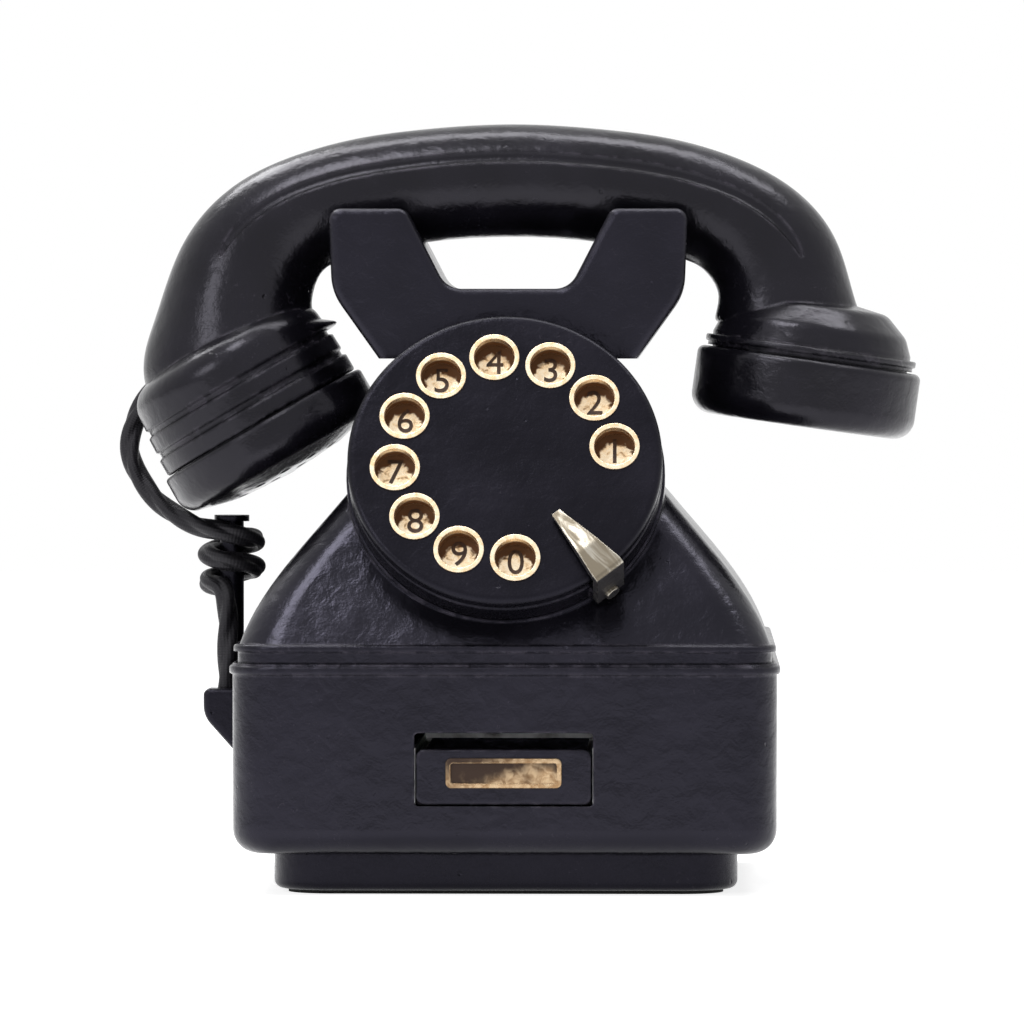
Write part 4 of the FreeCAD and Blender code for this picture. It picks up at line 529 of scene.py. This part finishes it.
@dataclass
class Dial:
    """Finger wheel, number plate and finger stop, on the tilted dial axis."""

    plate_top: float = 6.8 * MM
    wheel_top: float = 13.4 * MM
    hole_circle: float = 31.0 * MM
    first_hole: float = 6.0
    hole_step: float = 30.0
    stop_angle: float = -51.0
    cup_radius: float = 7.0 * MM
    cup_floor: float = 0.25 * MM
    cup_lip: float = 0.9 * MM
    digit_height: float = 7.2 * MM
    digit_rise: float = 0.22 * MM
    digit_lift: float = 1.5 * MM

    def __post_init__(self) -> None:
        """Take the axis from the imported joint."""
        hinge = joint("dial_turn")
        self.outward = -Vector(hinge["axis"]).normalized()
        self.across = Vector((1.0, 0.0, 0.0))
        self.upward = self.outward.cross(self.across).normalized()
        place = Matrix((self.across, self.upward, self.outward)).transposed().to_4x4()
        place.translation = Vector(hinge["pos_m"])
        self.to_row = place

    def hole(self, index: int) -> Vector:
        """Return the middle of a finger hole, on the plate, in the dial's own axes."""
        angle = math.radians(self.first_hole + self.hole_step * index)
        return Vector((self.hole_circle * math.cos(angle), self.hole_circle * math.sin(angle), self.plate_top))

    def height_over_plate(self, graph: Graph, place: Term) -> Term:
        """Return how far a place is out from the plate, in millimetres."""
        level = self.outward.dot(self.to_row.translation) + self.plate_top
        return (graph.dot(place, tuple(self.outward)) - level) * (1.0 / MM)

    def build_cups(self, gold: AntiqueGold) -> bpy.types.Object:
        """Return the ten dished number seats on the plate."""
        rings = 14
        sides = 44
        shape = bmesh.new()
        # The "patina" layer holds patina towards each cup's rim and painted shade towards its top.
        stain = shape.verts.layers.float.new("patina")
        for index in range(10):
            middle = self.hole(index)
            loops: List[List[bmesh.types.BMVert]] = []
            for ring in range(1, rings + 1):
                share = ring / rings
                rise = self.cup_floor + (self.cup_lip - self.cup_floor) * share ** 5
                loop = []
                for side in range(sides):
                    turn = 2.0 * math.pi * side / sides
                    spot = middle + Vector((
                        self.cup_radius * share * math.cos(turn), self.cup_radius * share * math.sin(turn), rise))
                    vert = shape.verts.new(self.to_row @ spot)
                    # Painted shade: the patina is made heavier towards the top of each cup, where the rim's shadow
                    # falls.
                    shade_lean = 0.10 * math.sin(turn)
                    vert[stain] = min(1.0, max(0.0, (share + shade_lean - 0.55) / 0.3))
                    loop.append(vert)
                loops.append(loop)
            foot = []
            for side in range(sides):
                turn = 2.0 * math.pi * side / sides
                spot = middle + Vector((self.cup_radius * math.cos(turn), self.cup_radius * math.sin(turn), 0.0))
                foot.append(shape.verts.new(self.to_row @ spot))
            loops.append(foot)
            shape.faces.new(loops[0])
            shape.faces.new(list(reversed(foot)))
            for inner, outer in zip(loops, loops[1:]):
                for side in range(sides):
                    after = (side + 1) % sides
                    shape.faces.new((inner[side], outer[side], outer[after], inner[after]))
        mesh = bpy.data.meshes.new("number_cups")
        shape.to_mesh(mesh)
        shape.free()
        soften(mesh, 50.0)

        def recess(graph: Graph, _place: Term) -> Term:
            """Return the patina painted on the cups, with painted shade towards their tops."""
            return graph.node("ShaderNodeAttribute", {"attribute_name": "patina"}, None, "Fac") + 0.16

        piece = new_piece("number_cups", mesh, gold.material("gold_cups", recess, 0.85))
        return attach(piece, Body.CASE.value)

    def build_numerals(self) -> bpy.types.Object:
        """Return the ten numerals as raised figures in the cups."""
        whole = bmesh.new()
        for index in range(10):
            words = bpy.data.curves.new("figure", "FONT")
            words.body = str((index + 1) % 10)
            words.extrude = self.digit_rise / 2.0
            words.bevel_depth = 0.05 * MM
            words.size = 1.0
            words.offset = 0.0
            holder = bpy.data.objects.new("figure", words)
            mesh = bpy.data.meshes.new_from_object(holder)
            bpy.data.objects.remove(holder)
            bpy.data.curves.remove(words)
            low = Vector((min(v.co.x for v in mesh.vertices), min(v.co.y for v in mesh.vertices), 0.0))
            high = Vector((max(v.co.x for v in mesh.vertices), max(v.co.y for v in mesh.vertices), 0.0))
            scale = self.digit_height / (high.y - low.y)
            centre = (low + high) / 2.0
            seat = self.hole(index) + Vector((0.0, self.digit_lift, self.cup_floor + self.digit_rise / 2.0))
            for vert in mesh.vertices:
                flat = (vert.co - centre) * scale
                vert.co = self.to_row @ (seat + Vector((flat.x, flat.y, vert.co.z)))
            whole.from_mesh(mesh)
            bpy.data.meshes.remove(mesh)
        mesh = bpy.data.meshes.new("numerals")
        whole.to_mesh(mesh)
        whole.free()
        piece = new_piece("numerals", mesh, Enamel().material("numeral_brown"))
        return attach(piece, Body.CASE.value)

    def dress(self, black: bpy.types.Material, gold: AntiqueGold) -> None:
        """Give the dial's CAD nodes their finishes."""
        def rim_recess(graph: Graph, place: Term) -> Term:
            """Return 1 down inside the rims."""
            return 1.0 - self.height_over_plate(graph, place).between(3.6, 6.4)

        def plate_recess(graph: Graph, place: Term) -> Term:
            """Return an even patina."""
            return graph.noise(place, 300.0) * 0.9

        dress(black, Slot.BLACK_ENAMEL, "finger_wheel", "dial_case")
        dress(gold.material("gold_rims", rim_recess, 0.2), Slot.ANTIQUE_GOLD, "finger_hole_rims")
        dress(gold.material("gold_plate", plate_recess), Slot.ANTIQUE_GOLD, "number_plate")
        turn = math.radians(self.stop_angle)
        along = self.across * math.cos(turn) + self.upward * math.sin(turn)
        stop = SilverPlateWithSideShade().material("silver_side_shade", self.outward, along)
        dress(stop, Slot.SILVER, "finger_stop", "finger_stop_screw")


@dataclass
class HandsetCord:
    """Twisted cord from the handset, round the peg and down into the case."""

    CHART = "weave"

    diameter: float = 6.2 * MM
    gland_place: Vector = Vector((-97.9, 18.0, 149.6)) * MM
    gland_way: Vector = Vector((-0.62, 0.2, -0.76)).normalized()
    gland_length: float = 10.0 * MM
    peg: Vector = Vector((-81.2, 11.0, 0.0)) * MM
    turn_radius: float = 7.0 * MM
    turn_pitch: float = 8.0 * MM
    turn_top: float = 100.5 * MM
    turn_from: float = 237.0
    turn_to: float = 945.0
    drop_bend: float = 6.0 * MM
    drop_sink: float = 6.9 * MM
    scoop_top: float = 55.0 * MM
    lay: float = 46.0 * MM
    length: float = 182.3 * MM

    def coil(self, angle: float) -> Tuple[Vector, Vector]:
        """Return the place and the direction on the turns round the peg."""
        turned = math.radians(angle)
        sink = self.turn_pitch * (angle - self.turn_from) / 360.0
        place = self.peg + Vector((
            self.turn_radius * math.cos(turned), self.turn_radius * math.sin(turned), self.turn_top - sink))
        way = Vector((-self.turn_radius * math.sin(turned), self.turn_radius * math.cos(turned),
                      -self.turn_pitch / (2.0 * math.pi)))
        return place, way.normalized()

    def route(self) -> List[Vector]:
        """Return the control points of the cord, from the handset to the case."""
        tip = self.gland_place + self.gland_way * self.gland_length
        start, start_way = self.coil(self.turn_from)
        points = [
            tip,
            tip + self.gland_way * 8.0 * MM,
            Vector((-112.0, 21.4, 127.0)) * MM,
            Vector((-110.5, 19.8, 118.0)) * MM,
            Vector((-104.4, 17.0, 109.9)) * MM,
            Vector((-98.2, 13.6, 104.9)) * MM,
            start - start_way * 7.6 * MM,
        ]
        steps = 34
        for step in range(steps + 1):
            points.append(self.coil(self.turn_from + (self.turn_to - self.turn_from) * step / steps)[0])
        end, end_way = self.coil(self.turn_to)
        level = Vector((end_way.x, end_way.y, 0.0)).normalized()
        drop = end + level * self.drop_bend
        points.append(end + end_way * 5.0 * MM)
        points.append(Vector((drop.x, drop.y, end.z - self.drop_sink)))
        points.append(Vector((drop.x, drop.y, end.z - self.drop_sink - 11.0 * MM)))
        points.append(Vector((drop.x, drop.y, self.scoop_top)))
        return points

    def centre_line(self) -> List[Vector]:
        """Return points along the smooth line that the route's spline gives."""
        curve = bpy.data.curves.new("cord_route", "CURVE")
        curve.dimensions = "3D"
        curve.resolution_u = 6
        spline = curve.splines.new("NURBS")
        route = self.route()
        spline.points.add(len(route) - 1)
        for point, place in zip(spline.points, route):
            point.co = (*place, 1.0)
        spline.order_u = 3
        spline.use_endpoint_u = True
        holder = bpy.data.objects.new("cord_route", curve)
        mesh = bpy.data.meshes.new_from_object(holder)
        line = [vert.co.copy() for vert in mesh.vertices]
        bpy.data.objects.remove(holder)
        bpy.data.curves.remove(curve)
        bpy.data.meshes.remove(mesh)
        return line

    def lobe(self, turn: float) -> float:
        """Return the radius of three twisted cores at an angle about the cord."""
        outer = self.diameter / 2.0
        core = 0.60 * outer
        offset = outer - core
        third = 2.0 * math.pi / 3.0
        aside = (turn + third / 2.0) % third - third / 2.0
        return offset * math.cos(aside) + math.sqrt(core * core - (offset * math.sin(aside)) ** 2)

    def build(self) -> bpy.types.Object:
        """Return the cord as one twisted tube."""
        line = self.centre_line()
        sides = 36
        shape = bmesh.new()
        chart = shape.loops.layers.uv.new(self.CHART)
        loops: List[List[bmesh.types.BMVert]] = []
        runs: List[float] = []
        run = 0.0
        way = (line[1] - line[0]).normalized()
        side_way = way.orthogonal().normalized()
        for index, spot in enumerate(line):
            before = line[max(0, index - 1)]
            after = line[min(len(line) - 1, index + 1)]
            ahead = (after - before).normalized()
            side_way = (side_way - ahead * side_way.dot(ahead)).normalized()
            up_way = ahead.cross(side_way)
            run += (spot - before).length
            twist = 2.0 * math.pi * run / self.lay
            loop = []
            for side in range(sides):
                turn = 2.0 * math.pi * side / sides
                reach = self.lobe(turn - twist)
                loop.append(shape.verts.new(
                    spot + side_way * (reach * math.cos(turn)) + up_way * (reach * math.sin(turn))))
            loops.append(loop)
            runs.append(run)
        for index in range(len(loops) - 1):
            for side in range(sides):
                after = (side + 1) % sides
                face = shape.faces.new((
                    loops[index][side], loops[index][after], loops[index + 1][after], loops[index + 1][side]))
                charted = ((side, index), (side + 1, index), (side + 1, index + 1), (side, index + 1))
                for corner, (place, row) in zip(face.loops, charted):
                    corner[chart].uv = (place / sides, runs[row])
        shape.faces.new(list(reversed(loops[0])))
        shape.faces.new(loops[-1])
        mesh = bpy.data.meshes.new("handset_cord")
        shape.to_mesh(mesh)
        shape.free()
        soften(mesh, 60.0)
        piece = new_piece("handset_cord", mesh, BraidedCotton().material("braided_cotton"))
        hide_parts("handset_cord_upper", "handset_cord_turns", "handset_cord_lower")
        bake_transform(piece)
        return piece


@dataclass
class Casework:
    """Plinth, lower and upper case, cradle and handset: the black pieces."""

    def dress(self, black: bpy.types.Material, ebonite: bpy.types.Material, cast: bpy.types.Material,
              enamel: bpy.types.Material) -> None:
        """Give the black CAD nodes their finishes."""
        dress(black, Slot.BLACK_BODY, "drawer", "lower_case", "upper_case")
        dress(ebonite, Slot.BLACK_BODY, "handset_grip", "mouthpiece_cap", "earpiece_cap")
        dress(cast, Slot.BLACK_BODY, "cradle")
        dress(enamel, Slot.BLACK_BODY, "plinth")
        dress(enamel, Slot.BLACK_ENAMEL, "cord_peg", "case_cord_scoop")


@dataclass
class DrawerFront:
    """Gold plate on the drawer."""

    rim_depth: float = 0.7 * MM

    def dress(self, gold: AntiqueGold) -> None:
        """Give the plate gold on its rim, patina in its recess, and painted shade towards its top and left."""
        low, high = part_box("drawer_pull")
        floor = low.y + self.rim_depth
        dull = AntiqueGold(bright=(0.50, 0.36, 0.22), warm=(0.30, 0.18, 0.09), brown=(0.030, 0.013, 0.006))

        def recess(_graph: Graph, place: Term) -> Term:
            """Return the patina in the recess of the plate, with painted shade towards its top and left."""
            graph = place.graph
            depth = (graph.dot(place, (0.0, 1.0, 0.0)) - floor) * (1.0 / MM)
            rightward = graph.dot(place, (1.0, 0.0, 0.0)).between(low.x, high.x - 6.0 * MM)
            upward = graph.dot(place, (0.0, 0.0, 1.0)).between(low.z + 1.4 * MM, high.z)
            cloud = graph.noise(place, 130.0, 2.0, 0.5) - 0.5
            inside = depth.between(-0.35, -0.1)
            # Painted shade: the plate is made darker towards its left and its top, so that its rim stays bright only
            # at the bottom and the right.
            worn = (1.0 - rightward) * 0.45 + upward * 0.38
            return inside * (0.34 + cloud * 1.0) + worn * 0.9

        dress(dull.material("gold_drawer_plate", recess, 0.14), Slot.ANTIQUE_GOLD, "drawer_pull")


@dataclass
class InnerWorks:
    """Ringer, dial works, switch and circuit inside the case."""

    def dress(self) -> None:
        """Give every inner CAD node its finish."""
        steel = TurnedMetal((0.56, 0.56, 0.57), (0.30, 0.29, 0.28)).material("turned_steel")
        blued = TurnedMetal((0.16, 0.16, 0.17), (0.07, 0.07, 0.075), 0.36).material("blued_steel")
        brass = TurnedMetal((0.74, 0.56, 0.27), (0.40, 0.26, 0.10), 0.26).material("turned_brass")
        nickel = TurnedMetal((0.68, 0.65, 0.58), (0.42, 0.38, 0.31)).material("spring_metal")
        can = TurnedMetal((0.62, 0.62, 0.62), (0.40, 0.40, 0.41), 0.38).material("drawn_can")
        board = MattSolid((0.17, 0.085, 0.038), (0.29, 0.16, 0.075), 900.0, 0.05, 0.6).material("brown_laminate")
        rubber = MattSolid((0.016, 0.016, 0.017), (0.035, 0.034, 0.034), 1600.0, 0.04, 0.72).material("black_rubber")
        felt = MattSolid((0.030, 0.031, 0.030), (0.085, 0.085, 0.08), 1400.0, 0.3, 0.95).material("wool_felt")
        dress(steel, Slot.STEEL, "base_screws", "dial_screws", "dial_shaft", "dial_rear_plate", "governor_pinion",
              "governor_weights", "dial_return_spring", "cradle_stem", "cradle_spring",
              "drawer_channel", "chassis_plate", "chassis_screws", "gong_posts", "gong_nuts", "ringer_yoke",
              "clapper_pin", "clapper", "switch_bracket", "terminal_screws")
        dress(blued, Slot.STEEL, "peg_screws")
        dress(brass, Slot.BRASS, "dial_main_gear", "stem_bush", "gong_left", "gong_right")
        dress(nickel, Slot.NICKEL_SILVER, "switch_springs")
        dress(can, Slot.CAPSULE_METAL, "transmitter", "receiver", "capacitor")
        dress(board, Slot.INSULATION, "switch_insulators", "terminal_strip", "induction_coil", "ringer_coils",
              "pulse_contacts")
        dress(rubber, Slot.BLACK_RUBBER, "line_cord_grommet", "handset_cord_gland")
        dress(felt, Slot.FELT, "base_felt")


@dataclass
class Studio:
    """Camera, floor, lamps and the white room round the telephone."""

    aim: Vector = Vector((0.6, 0.0, 106.1)) * MM
    yaw: float = -1.3
    rise: float = 4.0
    distance: float = 2.2
    frame_width: float = 1024 * 0.29 * MM
    floor_glow: float = 0.80
    room_fill: float = 0.22

    def camera(self) -> bpy.types.Object:
        """Return the camera at the photograph's viewing angle."""
        yaw = math.radians(self.yaw)
        rise = math.radians(self.rise)
        towards = Vector((math.sin(yaw) * math.cos(rise), math.cos(yaw) * math.cos(rise), -math.sin(rise)))
        place = -towards * self.distance
        lens = bpy.data.cameras.new("camera")
        lens.sensor_width = 36.0
        lens.lens = lens.sensor_width * self.distance / self.frame_width
        lens.clip_end = 20.0
        eye = bpy.data.objects.new("camera", lens)
        eye.location = place
        eye.rotation_euler = (self.aim - place).to_track_quat("-Z", "Y").to_euler()
        bpy.context.scene.collection.objects.link(eye)
        bpy.context.scene.camera = eye
        return eye

    def floor(self) -> bpy.types.Object:
        """Return the pale floor."""
        half = 3.0
        shape = bmesh.new()
        corners = [shape.verts.new(place) for place in (
            (-half, -half, 0.0), (half, -half, 0.0), (half, half, 0.0), (-half, half, 0.0))]
        shape.faces.new(corners)
        mesh = bpy.data.meshes.new("floor")
        shape.to_mesh(mesh)
        shape.free()
        graph = Graph("pale_floor")
        paint = graph.node("ShaderNodeBsdfDiffuse", None, {"Color": (0.92, 0.92, 0.92, 1.0)})
        glow = graph.node("ShaderNodeEmission", None, {"Strength": graph.seen() * self.floor_glow})
        both = graph.node("ShaderNodeAddShader", None, {"Shader": paint, "Shader_001": glow})
        mesh.materials.append(graph.close(both))
        floor = bpy.data.objects.new("floor", mesh)
        bpy.context.scene.collection.objects.link(floor)
        return floor

    def lamp(self, name: str, place: Sequence[float], width: float, depth: float, power: float) -> None:
        """Add a soft rectangular lamp that looks at the telephone.

        Args:
            name: the lamp's name.
            place: where it stands.
            width: its size one way.
            depth: its size the other way.
            power: its power in watts.
        """
        light = bpy.data.lights.new(name, "AREA")
        light.shape = "RECTANGLE"
        light.size = width
        light.size_y = depth
        light.energy = power
        lamp = bpy.data.objects.new(name, light)
        lamp.location = place
        lamp.rotation_euler = (self.aim - Vector(place)).to_track_quat("-Z", "Y").to_euler()
        bpy.context.scene.collection.objects.link(lamp)

    def room(self) -> None:
        """Set the white room that the camera and the gloss see."""
        world = bpy.data.worlds.new("room")
        graph = Graph("room", world)
        strength = graph.seen() * (1.0 - self.room_fill) + self.room_fill
        white = graph.node("ShaderNodeBackground", None, {
            "Color": (1.0, 1.0, 1.0, 1.0), "Strength": strength})
        graph.close(white, "ShaderNodeOutputWorld")
        bpy.context.scene.world = world

    def build(self) -> None:
        """Set up the camera, the floor, the lamps and the view transform."""
        self.camera()
        self.floor()
        self.room()
        self.lamp("key", (-0.36, -0.50, 1.25), 0.42, 0.40, 6.0)
        self.lamp("overhead", (0.08, 0.25, 1.30), 1.50, 0.30, 10.5)
        self.lamp("rear_left", (-0.55, 0.68, 1.05), 0.4, 0.4, 4.0)
        self.lamp("front_left", (-0.80, -0.95, 0.60), 0.4, 0.4, 2.5)
        bpy.context.scene.view_settings.view_transform = "Standard"


def main() -> None:
    """Build and dress the telephone, piece by piece."""
    logging.basicConfig(level=logging.INFO, format="%(name)s: %(message)s")
    Studio().build()
    HandsetCord().build()
    black = BlackGloss().material("black_gloss")
    ebonite = BlackGloss(sheen=(0.88, 0.85, 1.0), gloss=0.27, edge=1.3 * MM).material("black_handset")
    cast = BlackGloss(edge=1.9 * MM, gloss=0.29).material("black_casting")
    enamel = BlackGloss(tone=(0.0028, 0.0026, 0.0038), roughness=0.27, gloss=0.17, coat=0.03, lumps=0.8)
    enamelled = enamel.material("black_enamel")
    gold = AntiqueGold()
    dial = Dial()
    dial.build_cups(gold)
    dial.build_numerals()
    dial.dress(enamelled, gold)
    Casework().dress(black, ebonite, cast, enamelled)
    DrawerFront().dress(gold)
    InnerWorks().dress()


if __name__ == "__main__":
    main()
